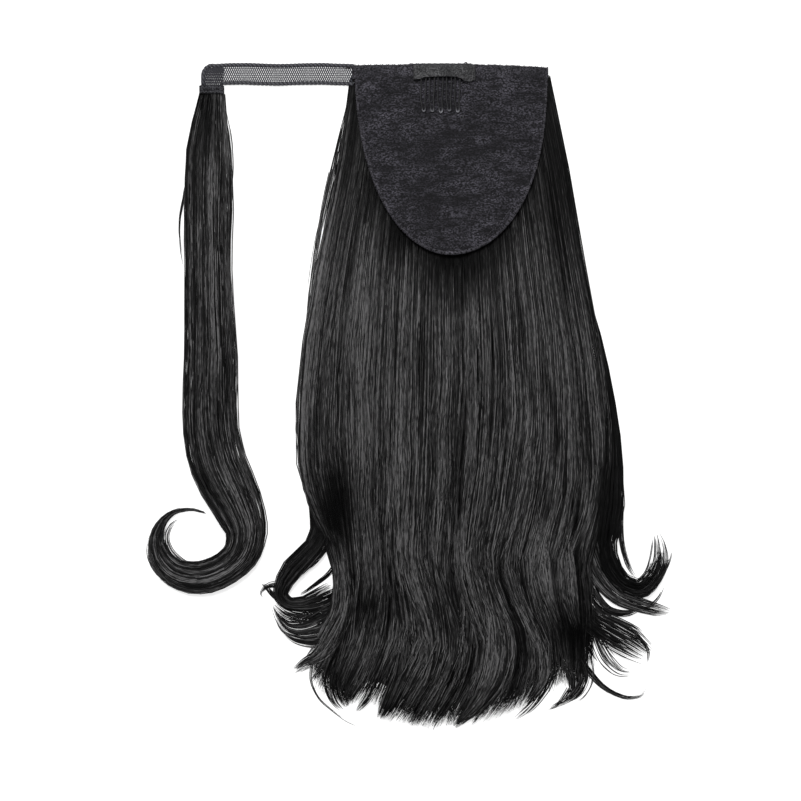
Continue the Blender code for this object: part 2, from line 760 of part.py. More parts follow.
def main():
    for old in list(bpy.data.objects):
        bpy.data.objects.remove(old)
    parts = bpy.data.collections.new("ponytail_hairpiece")
    helpers = bpy.data.collections.new("cutters")
    bpy.context.scene.collection.children.link(parts)
    bpy.context.scene.collection.children.link(helpers)
    hair = material("black_fibre", (0.012, 0.012, 0.013), 0.42)
    fabric = material("crinkled_fabric", (0.022, 0.021, 0.026), 0.85)
    tape = material("woven_tape", (0.050, 0.050, 0.053), 0.80)
    elastic = material("strap_elastic", (0.032, 0.033, 0.038), 0.75)
    wire = material("black_wire", (0.030, 0.030, 0.032), 0.35, 0.9)
    ponytail_hair(parts, helpers, hair)
    cap_panel(parts, fabric)
    cap_edge_binding(parts, fabric)
    cap_top_band(parts, fabric)
    comb(parts, helpers, wire)
    comb_cover(parts, helpers, tape)
    strap_net(parts, elastic)
    strap_upper_edge(parts, elastic)
    strap_lower_edge(parts, elastic)
    strand_weft(parts, elastic)
    wrap_strand(parts, hair)


main()
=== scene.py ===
import math
import random

import bmesh
import bpy
import numpy as np
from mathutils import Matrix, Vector, noise
from mathutils.bvhtree import BVHTree


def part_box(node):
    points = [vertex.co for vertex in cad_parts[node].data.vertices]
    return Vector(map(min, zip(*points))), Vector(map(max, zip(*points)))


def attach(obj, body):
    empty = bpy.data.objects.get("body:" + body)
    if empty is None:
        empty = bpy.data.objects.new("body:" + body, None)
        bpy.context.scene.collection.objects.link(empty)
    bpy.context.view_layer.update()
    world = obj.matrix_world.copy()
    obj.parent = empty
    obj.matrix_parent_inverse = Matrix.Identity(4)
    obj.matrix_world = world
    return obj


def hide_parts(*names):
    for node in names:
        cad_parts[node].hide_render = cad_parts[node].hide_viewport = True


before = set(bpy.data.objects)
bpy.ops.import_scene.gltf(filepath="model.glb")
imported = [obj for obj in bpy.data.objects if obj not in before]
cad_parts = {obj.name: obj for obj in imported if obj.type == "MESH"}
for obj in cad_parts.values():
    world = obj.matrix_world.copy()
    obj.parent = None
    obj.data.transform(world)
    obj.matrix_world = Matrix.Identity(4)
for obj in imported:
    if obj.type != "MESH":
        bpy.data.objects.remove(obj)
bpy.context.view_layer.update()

# Camera, floor and light
view = {
    "lens": 85.0,
    "sensor": 36.0,
    "height": 1.21,  # camera above the surface
    "lookX": -0.03168,  # the spot straight below the camera
    "lookY": -0.20992,
    "frame": 801,  # pixels across the picture
    "pixel": 0.00064,  # metres for each pixel of the photo, at the surface
}
studio = {
    "floorSize": 4.0,
    "floorColour": (0.55, 0.55, 0.55, 1),
    "floorGlow": 0.66,
    "worldColour": (1.0, 1.0, 1.0, 1),
    "worldStrength": 0.32,
    "lamps": {  # power, size, place
        "topLight": (30.0, 0.7, (-0.25, 0.55, 1.7)),
        "sideLight": (4.0, 1.0, (1.3, -0.5, 0.9)),
    },
}


def pixelAt(height):
    return (view["height"] - height) * view["sensor"] / view["lens"] / view["frame"]


def fromPhoto(px, py, height=0.0):
    middle, size = view["frame"] / 2, pixelAt(height)
    return view["lookX"] + (px - middle) * size, view["lookY"] - (py - middle) * size


def makeCamera():
    data = bpy.data.cameras.new("camera")
    data.lens, data.sensor_width = view["lens"], view["sensor"]
    data.clip_start, data.clip_end = 0.01, 10
    camera = addObject("camera", data)
    camera.location = (view["lookX"], view["lookY"], view["height"])
    bpy.context.scene.camera = camera


# Nodes: one class for a socket, one for a tree
class Wire:
    def __init__(self, graph, socket):
        self.graph = graph
        self.socket = socket

    def math(self, operation, first, second):
        return self.graph.node("ShaderNodeMath", {"operation": operation}, {0: first, 1: second})

    def __add__(self, other):
        return self.math("ADD", self, other)

    def __radd__(self, other):
        return self.math("ADD", other, self)

    def __sub__(self, other):
        return self.math("SUBTRACT", self, other)

    def __rsub__(self, other):
        return self.math("SUBTRACT", other, self)

    def __mul__(self, other):
        return self.math("MULTIPLY", self, other)

    def __rmul__(self, other):
        return self.math("MULTIPLY", other, self)

    def __truediv__(self, other):
        return self.math("DIVIDE", self, other)

    def __rtruediv__(self, other):
        return self.math("DIVIDE", other, self)

    def __pow__(self, other):
        return self.math("POWER", self, other)

    def clamped(self):
        return self.graph.node("ShaderNodeClamp", None, {0: self, 1: 0.0, 2: 1.0})

    def axis(self, number):
        return self.graph.node("ShaderNodeSeparateXYZ", None, {0: self}, number)

    def vector(self, operation, other):
        place = 3 if operation == "SCALE" else 1
        return self.graph.node("ShaderNodeVectorMath", {"operation": operation}, {0: self, place: other})

    def feed(self, node, socket):
        self.graph.tree.links.new(self.socket, node.inputs[socket])


class Graph:
    def __init__(self, tree):
        self.tree = tree

    def node(self, kind, settings=None, values=None, outlet=0):
        made = self.tree.nodes.new(kind)
        for name, value in (settings or {}).items():
            setattr(made, name, value)
        for place, value in (values or {}).items():
            if isinstance(value, Wire):
                value.feed(made, place)
            else:
                made.inputs[place].default_value = value
        return Wire(self, made.outputs[outlet])

    def vectorOf(self, *parts):
        return self.node("ShaderNodeCombineXYZ", None, dict(enumerate(parts)))

    def noise(self, place, scale, detail, settings=None, outlet=0, **more):
        values = {"Vector": place, "Scale": scale, "Detail": detail, **more}
        return self.node("ShaderNodeTexNoise", settings, values, outlet)

    def mix(self, factor, first, second):
        return self.node("ShaderNodeMix", {"data_type": "RGBA"}, {0: factor, 6: first, 7: second}, 2)


def newFinish(name, roughness, specular, **more):
    finish = bpy.data.materials.new(name)
    finish.use_nodes = True
    shader = finish.node_tree.nodes["Principled BSDF"]
    for socket, value in {"Roughness": roughness, "Specular IOR Level": specular, **more}.items():
        shader.inputs[socket].default_value = value
    return finish, Graph(finish.node_tree), shader


# Geometry Nodes: a tree with named inputs, its end, and a mesh that is run through it
def newTree(name, inputs):
    tree = bpy.data.node_groups.new(name, "GeometryNodeTree")
    tree.interface.new_socket("Geometry", in_out="INPUT", socket_type="NodeSocketGeometry")
    for label, value in inputs.items():
        kind = "NodeSocketInt" if isinstance(value, int) else "NodeSocketFloat"
        tree.interface.new_socket(label, in_out="INPUT", socket_type=kind).default_value = value
    tree.interface.new_socket("Material", in_out="INPUT", socket_type="NodeSocketMaterial")
    tree.interface.new_socket("Geometry", in_out="OUTPUT", socket_type="NodeSocketGeometry")
    graph = Graph(tree)
    source = tree.nodes.new("NodeGroupInput")
    return graph, {socket.name: Wire(graph, socket) for socket in source.outputs if socket.name}


def endTree(graph, geometry, material):
    geometry = graph.node("GeometryNodeRealizeInstances", None, {0: geometry})
    geometry = graph.node("GeometryNodeSetMaterial", None, {0: geometry, 2: material})
    geometry.feed(graph.tree.nodes.new("NodeGroupOutput"), 0)
    return graph.tree


def runTree(name, data, tree, values):
    source = addObject(name + "Lines", data)
    modifier = source.modifiers.new("lines", "NODES")
    modifier.node_group = tree
    names = {item.name: item.identifier for item in tree.interface.items_tree if item.in_out == "INPUT"}
    for label, value in values.items():
        modifier[names[label]] = value
    made = bpy.data.meshes.new_from_object(source.evaluated_get(bpy.context.evaluated_depsgraph_get()))
    made.name = name
    bpy.data.objects.remove(source)
    return addObject(name, made)


# Pieces
def addObject(name, data):
    made = bpy.data.objects.new(name, data)
    bpy.context.scene.collection.objects.link(made)
    return made


def finishPiece(piece, replaced=()):
    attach(piece, "root")
    if replaced:
        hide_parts(*replaced)
    print(piece.name, "has", sum(len(p.vertices) - 2 for p in piece.data.polygons), "triangles")
    return piece


def meshFrom(name, points, faces, finish):
    data = bpy.data.meshes.new(name)
    data.from_pydata([tuple(p) for p in points], [], faces)
    data.validate()
    data.shade_smooth()
    data.materials.append(finish)
    return addObject(name, data)


def loft(name, points, count, finish, flipped=False):
    rings = len(points) // count
    faces = []
    for i in range(rings - 1):
        for j in range(count):
            a, b = i * count + j, i * count + (j + 1) % count
            faces.append((a, b, b + count, a + count) if flipped else (a, a + count, b + count, b))
    first, last = tuple(range(count)), tuple(range((rings - 1) * count, rings * count))
    faces += [first[::-1], last] if flipped else [first, last[::-1]]
    return meshFrom(name, points, faces, finish)


def joinPieces(name, pieces):
    shape = bmesh.new()
    finishes = []
    for piece in pieces:
        start = len(shape.faces)
        shape.from_mesh(piece.data)
        shape.faces.ensure_lookup_table()
        slots = []
        for finish in piece.data.materials:
            if finish not in finishes:
                finishes.append(finish)
            slots.append(finishes.index(finish))
        for face in shape.faces[start:]:
            face.material_index = slots[face.material_index]
    data = bpy.data.meshes.new(name)
    shape.to_mesh(data)
    shape.free()
    for finish in finishes:
        data.materials.append(finish)
    for piece in pieces:
        bpy.data.objects.remove(piece)
    return addObject(name, data)


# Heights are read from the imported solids, so that every piece lies on what carries it
def treeOf(node):
    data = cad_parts[node].data
    return BVHTree.FromPolygons([v.co.copy() for v in data.vertices], [tuple(p.vertices) for p in data.polygons])


def hitsAt(tree, x, y, reach):
    spots = (0, 0), (reach, 0), (-reach, 0), (0, reach), (0, -reach)
    hits = [tree.ray_cast(Vector((x + dx, y + dy, 0.1)), Vector((0, 0, -1)))[0] for dx, dy in spots]
    return [hit.z for hit in hits if hit]


def heightAt(tree, x, y, reach=0.0025):
    return sum(hitsAt(tree, x, y, reach)) / 5  # a miss counts as the surface itself


def surfaceAt(tree, x, y, reach=0.0012):
    found = hitsAt(tree, x, y, reach)
    return sum(found) / len(found) if found else tree.find_nearest(Vector((x, y, 0.02)))[0].z


def smoothRow(places, values, at):
    places, values = np.asarray(places, float), np.asarray(values, float)
    at = np.clip(at, places[0], places[-1])
    slopes = np.gradient(values, places)
    right = np.clip(np.searchsorted(places, at, side="right"), 1, len(places) - 1)
    left = right - 1
    span = places[right] - places[left]
    t = (at - places[left]) / span
    rise = (2 * t**3 - 3 * t**2 + 1) * values[left] + (3 * t**2 - 2 * t**3) * values[right]
    return rise + (t**3 - 2 * t**2 + t) * span * slopes[left] + (t**3 - t**2) * span * slopes[right]


def noiseRow(seed, places, y=0):
    return np.array([noise.noise(seed + Vector((x, y, 0))) for x in places])


def evened(line, rounds):
    line = np.array(line)
    for _ in range(rounds):
        line[1:-1, 2] = (line[:-2, 2] + 2 * line[1:-1, 2] + line[2:, 2]) / 4
    return line


def boxy(value, power):
    return math.copysign(abs(value) ** power, value)


def between(value, low=0, high=1):
    return min(max(value, low), high)


hairTree = treeOf("ponytail_hair")
strandTree = treeOf("wrap_strand")

# Hair finish: black fibre, each strand with its own tone. The light end of the tones is painted highlight, the dark end
# painted shade
hairLook = {
    "dark": (0.0012, 0.0012, 0.0013, 1),
    "light": (0.153, 0.151, 0.153, 1),
    "contrast": 1.9,
    "dashLength": 0.0060,  # how long a stretch of painted highlight or painted shade along a strand is
    "dashStrength": 2.2,
    "dashApart": 331.0,  # how far apart in the noise two strands lie
    "roughness": 0.45,
    "specular": 0.08,
}


def makeHairFinish():
    finish, graph, shader = newFinish("blackFibre", hairLook["roughness"], hairLook["specular"])

    def read(name):
        return graph.node("ShaderNodeAttribute", {"attribute_name": name}, outlet="Fac")

    # light and dark dashes along each strand: painted highlights and painted shade
    spot = graph.vectorOf(read("along") / hairLook["dashLength"], read("lot") * hairLook["dashApart"])
    paintedLightDashes = graph.noise(spot, 1.0, 1.5, {"noise_dimensions": "2D"}, Roughness=0.6) - 0.5
    lit = (read("tone") * (1 + paintedLightDashes * hairLook["dashStrength"])).clamped()
    graph.mix(lit ** hairLook["contrast"], hairLook["dark"], hairLook["light"]).feed(shader, "Base Color")
    return finish


hairFinish = makeHairFinish()

# Strands: how a Geometry Nodes tree turns guide lines into locks of strands
strandForm = {
    "drawn": (  # what is drawn for each strand, with its lowest and highest value
        ("across", -1.0, 1.0), ("deep", 0.0, 1.0), ("lot", 0.0, 1.0), ("thick", 0.7, 1.25), ("own", -0.5, 0.5),
    ),
    "sink": 1.6,  # how far below its crown a lock holds strands, as a share of its depth
    "frizzApart": (97.0, 53.0),  # how far apart in the noise two strands lie
    "floorGap": 1.3,  # strand radii from the surface up
    "taper": 6.0,
    "tip": 0.22,  # a tip's radius, as a share of the strand's
    "sides": 3,
}


def makeStrandTree():
    graph, inlet = newTree("strandsOnGuides", {
        "Strands per guide": 40, "Strand radius": 0.0003, "Frizz": 0.0006, "Frizz length": 0.03, "Tone spread": 0.3,
        "Tip scatter": 0.06, "Root scatter": 0.0, "Seed": 1,
    })

    def dice(low, high, salt):
        values = {2: low, 3: high, 8: inlet["Seed"] + salt}
        return graph.node("FunctionNodeRandomValue", {"data_type": "FLOAT"}, values, 1)

    def read(name, kind="FLOAT"):
        return graph.node("GeometryNodeInputNamedAttribute", {"data_type": kind}, {0: name})

    def store(geometry, name, value, domain):
        settings = {"domain": domain, "data_type": "FLOAT"}
        return graph.node("GeometryNodeStoreNamedAttribute", settings, {0: geometry, 2: name, 3: value})

    lines = graph.node("GeometryNodeMeshToCurve", None, {0: inlet["Geometry"]})
    amount = {0: lines, 2: inlet["Strands per guide"]}
    strands = graph.node("GeometryNodeDuplicateElements", {"domain": "SPLINE"}, amount)
    for number, (name, low, high) in enumerate(strandForm["drawn"]):
        strands = store(strands, name, dice(low, high, number * 100), "CURVE")
    tipEnd = 1 - inlet["Tip scatter"] * dice(0.0, 1.0, 500)
    rootEnd = inlet["Root scatter"] * dice(0.0, 1.0, 600)
    strands = graph.node("GeometryNodeTrimCurve", {"mode": "FACTOR"}, {0: strands, 2: rootEnd, 3: tipEnd})

    across, deep = read("across"), read("deep")
    sideways = read("side", "FLOAT_VECTOR").vector("SCALE", across * read("halfWidth"))
    crown = (1 - across * across) ** 0.5
    upward = graph.vectorOf(0.0, 0.0, read("depth") * crown * (1 - deep * deep * strandForm["sink"]))
    along = graph.node("GeometryNodeSplineParameter", outlet=1)
    lotApart, deepApart = strandForm["frizzApart"]
    spot = graph.vectorOf(along / inlet["Frizz length"], read("lot") * lotApart, deep * deepApart)
    swing = inlet["Frizz"] * read("loose") * 2.0
    frizz = graph.noise(spot, 1.0, 2.0, outlet="Color").vector("SUBTRACT", (0.5, 0.5, 0.5)).vector("SCALE", swing)
    shift = sideways.vector("ADD", upward).vector("ADD", frizz)
    strands = graph.node("GeometryNodeSetPosition", None, {0: strands, 3: shift})

    place = graph.node("GeometryNodeInputPosition")
    height = place.axis(2)
    lifted = height.math("MAXIMUM", height, inlet["Strand radius"] * strandForm["floorGap"])
    grounded = graph.vectorOf(place.axis(0), place.axis(1), lifted)
    strands = graph.node("GeometryNodeSetPosition", None, {0: strands, 2: grounded})

    factor = graph.node("GeometryNodeSplineParameter")
    taper = factor.math("MINIMUM", (1 - factor) * strandForm["taper"] + strandForm["tip"], 1.0)
    radius = inlet["Strand radius"] * read("thick") * taper
    strands = graph.node("GeometryNodeSetCurveRadius", None, {0: strands, 2: radius})
    strands = store(strands, "along", along, "POINT")
    tone = (read("shade") * (1 + read("own") * inlet["Tone spread"] * 2.0)).clamped()
    strands = store(strands, "tone", tone, "POINT")
    profile = graph.node("GeometryNodeCurvePrimitiveCircle", {"mode": "RADIUS"}, {0: strandForm["sides"], 4: 1.0})
    solid = graph.node("GeometryNodeCurveToMesh", None, {0: strands, 1: profile, 2: read("radius"), 3: True})
    solid = graph.node("GeometryNodeSetShadeSmooth", None, {0: solid})
    return endTree(graph, solid, inlet["Material"])


strandsOnGuides = makeStrandTree()


def makeGuide(points, halfWidths, depths, shade, loose):
    points = np.asarray(points, float)
    along = np.gradient(points, axis=0)
    side = np.stack([-along[:, 1], along[:, 0], np.zeros(len(points))], axis=1)
    side /= np.maximum(np.linalg.norm(side, axis=1, keepdims=True), 1e-9)
    rows = {"halfWidth": halfWidths, "depth": depths, "shade": shade, "loose": loose}
    spread = {key: np.broadcast_to(row, len(points)) for key, row in rows.items()}
    return {"points": points, "side": side, **spread}


def growHair(name, guides, strands, radius, frizz, frizzLength, toneSpread, tipScatter, seed, rootScatter=0.0):
    edges, start = [], 0
    for guide in guides:
        count = len(guide["points"])
        edges += [(start + i, start + i + 1) for i in range(count - 1)]
        start += count
    data = bpy.data.meshes.new(name)
    data.from_pydata(np.concatenate([g["points"] for g in guides]).tolist(), edges, [])
    for key in ("halfWidth", "depth", "shade", "loose"):
        values = np.concatenate([g[key] for g in guides]).astype(np.float32)
        data.attributes.new(key, "FLOAT", "POINT").data.foreach_set("value", values)
    sides = np.concatenate([g["side"] for g in guides]).astype(np.float32)
    data.attributes.new("side", "FLOAT_VECTOR", "POINT").data.foreach_set("vector", sides.ravel())
    piece = runTree(name, data, strandsOnGuides, {
        "Strands per guide": strands, "Strand radius": radius, "Frizz": frizz, "Frizz length": frizzLength,
        "Tone spread": toneSpread, "Tip scatter": tipScatter, "Root scatter": rootScatter, "Seed": seed,
        "Material": hairFinish,
    })
    for key in [a.name for a in piece.data.attributes]:
        if key in ("across", "deep", "thick", "own", "side", "halfWidth", "depth", "shade", "loose"):
            piece.data.attributes.remove(piece.data.attributes[key])
    return piece


def valuesOf(data, name):
    values = np.empty(len(data.vertices), np.float32)
    data.attributes[name].data.foreach_get("value", values)
    return values


def placesOf(data):
    places = np.empty(len(data.vertices) * 3, np.float32)
    data.vertices.foreach_get("co", places)
    return places.reshape(-1, 3)


def joinHair(name, pieces):
    points, faces, start = [], [], 0
    values = {"tone": [], "along": [], "lot": []}
    for piece in pieces:
        points.append(placesOf(piece.data))
        for key, found in values.items():
            found.append(valuesOf(piece.data, key))
        faces += [tuple(start + v for v in p.vertices) for p in piece.data.polygons]
        start += len(points[-1])
        bpy.data.objects.remove(piece)
    joined = meshFrom(name, np.concatenate(points).tolist(), faces, hairFinish)
    for key, found in values.items():
        joined.data.attributes.new(key, "FLOAT", "POINT").data.foreach_set("value", np.concatenate(found))
    return joined


# The fall: a chart of how the hair flows, in pixels of the photo. A row is a height in the picture,
# a column is a share of the way from the left edge to the right
flow = {
    "shares": (0, 0.12, 0.25, 0.35, 0.45, 0.55, 0.65, 0.75, 0.85, 0.92, 1),
    "rows": {
        70: (353, 375, 401, 421, 440, 460, 479, 499, 519, 532, 548),
        160: (341, 366, 394, 417, 440, 463, 486, 509, 532, 548, 566),
        255: (321, 351, 384, 411, 438, 465, 491, 518, 544, 562, 582),
        350: (305, 340, 378, 408, 437, 467, 497, 526, 556, 577, 599),
        430: (299, 338, 376, 406, 435, 465, 495, 527, 559, 583, 608),
        480: (303, 341, 377, 406, 433, 461, 490, 522, 558, 585, 608),
        520: (317, 346, 377, 404, 431, 457, 484, 514, 550, 580, 600),
        560: (333, 350, 376, 404, 430, 454, 478, 505, 540, 568, 590),
        600: (335, 351, 378, 412, 438, 463, 488, 515, 545, 571, 590),
        640: (323, 342, 374, 418, 447, 475, 502, 529, 558, 578, 594),
        680: (307, 328, 357, 403, 435, 466, 498, 530, 560, 577, 594),
        722: (292, 314, 337, 381, 408, 443, 470, 505, 545, 566, 590),
    },
    "tipShares": (0, 0.06, 0.12, 0.18, 0.25, 0.30, 0.35, 0.45, 0.50, 0.55, 0.65, 0.75, 0.80, 0.86, 0.92, 0.96, 1),
    "tips": (672, 687, 697, 705, 707, 700, 721, 729, 732, 728, 728, 716, 706, 689, 690, 684, 664),
}

# Painted shade where the fall is parted or lies deep, and painted highlights where it catches the light, in pixels:
# x, y, half width, half height, lean across for each pixel down, strength
paintedShadeAndHighlights = (
    (336, 512, 19, 48, 0.0, -1.0), (322, 540, 12, 22, 0.2, -0.9), (365, 604, 15, 22, 0.0, -0.75),
    (397, 594, 15, 14, 0.3, -0.45), (422, 622, 10, 14, 0.5, -0.45), (609, 520, 14, 62, 0.0, -1.0),
    (577, 560, 4, 60, 0.0, -0.7), (576, 632, 26, 34, 0.15, -1.0), (556, 612, 14, 20, 0.3, -0.6),
    (345, 700, 36, 15, 0.0, -0.7), (392, 718, 28, 14, 0.0, -0.7), (440, 724, 38, 12, 0.0, -0.65),
    (515, 704, 34, 12, -0.2, -0.65), (395, 600, 10, 16, 0.2, -0.6), (372, 612, 22, 18, 0.0, -0.4),
    (207, 120, 10, 34, 0.0, -0.85), (197, 160, 6, 60, 0.0, -0.5), (228, 165, 3, 40, 0.06, 0.6),
    (218, 420, 6, 50, 0.0, -0.6), (206, 490, 9, 26, 0.4, -0.55), (253, 556, 9, 22, -0.3, -0.4),
    (232, 500, 9, 16, 0.4, 0.3), (562, 165, 26, 110, -0.1, -0.72), (535, 215, 26, 40, 0.0, -0.35),
    (352, 160, 24, 70, 0.12, -0.3), (610, 601, 10, 6, 0.3, -0.8), (460, 497, 8, 22, 0.0, -0.5),
    (477, 455, 3, 45, -0.12, -0.45), (541, 506, 12, 17, 0.0, -0.6), (522, 640, 7, 32, 0.1, -0.75),
    (446, 610, 13, 24, 0.35, -0.65), (337, 674, 15, 13, 0.3, -0.55), (486, 690, 12, 14, -0.4, -0.35),
    (458, 262, 48, 18, 0.0, -1.0), (456, 268, 36, 14, 0.0, -1.0), (398, 240, 30, 13, 0.5, -0.95),
    (505, 246, 26, 13, -0.6, -0.85), (350, 150, 6, 60, 0.1, -0.6), (370, 205, 8, 30, 0.3, -0.5),
    (549, 165, 7, 40, -0.2, -0.5), (369, 690, 26, 20, -0.3, -0.4), (452, 697, 18, 9, -0.3, -0.4),
    (344, 384, 4, 22, 0.2, -0.5), (424, 350, 3, 50, 0.0, -0.4), (318, 400, 3, 60, 0.0, -0.6),
    (432, 470, 4, 40, -0.1, -0.3), (560, 450, 5, 70, 0.18, -0.5), (506, 460, 2.5, 45, 0.02, -0.5),
    (313, 345, 9, 110, -0.09, 0.75), (320, 265, 10, 55, -0.09, 0.8), (395, 470, 9, 45, 0.0, 0.3),
    (440, 300, 60, 22, 0.0, 0.18), (596, 400, 6, 60, 0.15, 0.3), (372, 650, 26, 20, -0.3, 0.25),
    (495, 635, 13, 28, 0.0, 0.25), (588, 522, 4, 18, 0.0, 0.6), (360, 430, 26, 24, 0.0, 0.2),
    (352, 330, 26, 55, 0.0, 0.34), (372, 385, 22, 40, 0.0, 0.30), (545, 470, 10, 60, 0.1, 0.12),
    (412, 555, 9, 42, 0.08, 0.45), (539, 566, 10, 34, 0.15, 0.45), (565, 566, 8, 26, 0.1, 0.4),
    (344, 582, 8, 30, 0.05, 0.45), (394, 652, 32, 20, -0.2, 0.35), (497, 655, 12, 34, 0.0, 0.35),
    (470, 560, 8, 30, 0.2, 0.25),
)
partingShade = (  # painted shade along thin partings, in pixels, with their half width
    (((545, 380), (556, 430), (566, 480), (576, 530), (579, 575), (584, 605)), 2.4),
    (((405, 572), (413, 592), (424, 615), (433, 640), (435, 662), (426, 688), (410, 712)), 2.4),
    (((430, 560), (437, 585), (446, 612), (455, 640), (454, 668), (444, 694), (428, 722)), 1.8),
    (((450, 575), (458, 596), (467, 620), (472, 645), (470, 672), (459, 700), (442, 722)), 2.2),
    (((474, 560), (481, 580), (489, 600), (482, 640), (478, 668)), 1.6),
    (((497, 562), (505, 590), (514, 620), (519, 650), (516, 680), (500, 708)), 2.4),
    (((515, 560), (525, 590), (537, 618), (550, 645), (562, 668)), 2.2),
    (((551, 540), (552, 575), (556, 600)), 2.0),
    (((352, 560), (356, 590), (350, 620), (338, 645), (328, 665)), 2.4),
    (((388, 560), (392, 600), (386, 640), (376, 675), (366, 700)), 1.6),
    (((466, 400), (463, 440), (460, 480), (459, 530)), 1.8),
    (((340, 350), (343, 380), (350, 405)), 1.6),
    (((418, 330), (420, 380), (417, 420)), 1.2),
    (((492, 300), (493, 380), (490, 440)), 1.2),
    (((330, 300), (333, 360), (338, 400)), 1.2),
    (((520, 300), (528, 380), (538, 450), (545, 500)), 1.4),
)
capShade = {  # the cap's outline in pixels, left and right, and its shadow on the hair
    "top": 65,
    "middle": 450,
    "half": (95.2, 97),
    "power": (2.15, 2.5),
    "depth": 0.123,
    "end": (0.1225, 0.1228),  # where the outline ends, for the shadow and for the strands
    "reach": 9,
    "lowest": 250,
    "strength": 0.8,
    "seamStrength": 0.9,
}


def flowPoint(share, y):
    rows = sorted(flow["rows"])
    xs = [np.interp(share, flow["shares"], flow["rows"][r]) for r in rows]
    return smoothRow(rows, xs, y)


# how much painted shade and painted highlight a place on the hair gets
def patchAt(px, py):
    dark = np.zeros(len(px))
    light = np.zeros(len(px))
    for x, y, width, height, lean, strength in paintedShadeAndHighlights:
        across = (px - x - lean * (py - y)) / width
        fade = np.exp(-((across**2 + ((py - y) / height) ** 2) ** 1.3))
        if strength < 0:
            dark = np.maximum(dark, -strength * fade)
        else:
            light = np.maximum(light, strength * fade)
    for line, width in partingShade:
        near = np.full(len(px), 1e9)
        for (ax, ay), (bx, by) in zip(line[:-1], line[1:]):
            long = (bx - ax) ** 2 + (by - ay) ** 2
            t = np.clip(((px - ax) * (bx - ax) + (py - ay) * (by - ay)) / long, 0, 1)
            near = np.minimum(near, (px - ax - t * (bx - ax)) ** 2 + (py - ay - t * (by - ay)) ** 2)
        dark = np.maximum(dark, capShade["seamStrength"] * np.exp(-near / width**2))
    below = np.clip((py - capShade["top"]) * view["pixel"], 0, capShade["end"][0])
    half, power = (np.where(px < capShade["middle"], *capShade[key]) for key in ("half", "power"))
    outside = abs(px - capShade["middle"]) - half * np.sqrt(1 - (below / capShade["depth"]) ** power)
    beside = np.exp(-((np.clip(outside, 0, 99) / capShade["reach"]) ** 2)) * (py < capShade["lowest"])
    return np.maximum(dark, capShade["strength"] * beside), light


# paints shade and highlights into the strands' tone, and lowers the shaded places
def paintHair(piece, darkening, lightening, sink):
    data = piece.data
    place = placesOf(data)
    perPixel = pixelAt(place[:, 2])
    px = view["frame"] / 2 + (place[:, 0] - view["lookX"]) / perPixel
    py = view["frame"] / 2 - (place[:, 1] - view["lookY"]) / perPixel
    py += 5 * np.sin(px * 0.7) + 4 * np.sin(px * 1.9 + 1)  # so that a patch has a ragged edge
    dark, light = patchAt(px, py)
    tone = valuesOf(data, "tone")
    tone = tone * (1 - darkening * dark) + lightening * light * (0.25 + tone)
    data.attributes["tone"].data.foreach_set("value", np.clip(tone, 0, 1).astype(np.float32))
    place[:, 2] -= sink * dark * np.clip((place[:, 2] - 0.002) / 0.006, 0, 1)
    data.vertices.foreach_set("co", place.ravel())
    data.update()


fall = {
    "columns": ("guides", "strands", "points", "lift", "wander", "shade", "spread", "narrow", "radius", "seed"),
    # a layer's shade is painted: darker for the layers that lie under, lighter for the crest
    "layers": {
        "fallUnder": (30, 30, 12, -0.0018, 2.5, 0.14, 0.3, 1.0, 0.00036, 11),
        "fallMiddle": (36, 36, 17, -0.0009, 3.0, 0.30, 0.7, 1.0, 0.00032, 23),
        "fallTop": (42, 38, 21, 0.0, 3.6, 0.42, 0.95, 0.85, 0.00031, 37),
        "fallCrest": (32, 16, 17, 0.0005, 4.0, 0.50, 1.1, 0.95, 0.00024, 53),
    },
    "frizz": 0.0013,
    "frizzLength": 0.018,
    "tipScatter": 0.04,
    "shortest": 77,  # the highest place where a strand starts, in pixels
    "lowestStart": 256,  # and the lowest
    "underCap": 13,  # how far inside the cap's outline a strand starts, in pixels
    "rootLength": (14, 26),  # pixels to a guide's second and third point
    "clumps": (1, 2, 2, 3, 3),  # how many guides flow together
    "clumpPull": 0.16,
    "pullFrom": (480, 200),  # first row and length, in pixels, of the stretch where they draw together,
    "openFrom": (440, 130),  # of the one where the clumps part,
    "looseFrom": (150, 400),  # and of the one where they come loose
    "looseRange": (0.12, 1.25),
    "narrowest": 3.5,  # least width of a guide, in pixels
    "groupWave": 80,  # wave lengths of a clump and of a guide, in pixels
    "ownWave": 38,
    "chartHeight": 0.012,  # the height at which the fall's chart is read, in metres
    "settle": 0.92,  # how high on the solid the strands lie
    "capRoom": 0.0018,  # how much lower they lie under the cap
    "depth": 0.0011,
    "paint": (0.97, 1.0, 0.0022),  # painted shade, painted highlight, and how far a shaded place sinks
}


def capInside(px, py):
    below = max((py - capShade["top"]) * view["pixel"], 0)
    if below >= capShade["end"][1]:
        return -99
    side = 0 if px < capShade["middle"] else 1
    half, power = capShade["half"][side], capShade["power"][side]
    return half * math.sqrt(1 - (below / capShade["depth"]) ** power) - abs(px - capShade["middle"])


def startOf(share):
    for y in range(fall["lowestStart"], fall["shortest"], -3):
        if capInside(float(flowPoint(share, y)), y) > fall["underCap"]:
            return y
    return fall["shortest"]


def ramp(ys, name):
    first, length = fall[name]
    return (ys - first) / length


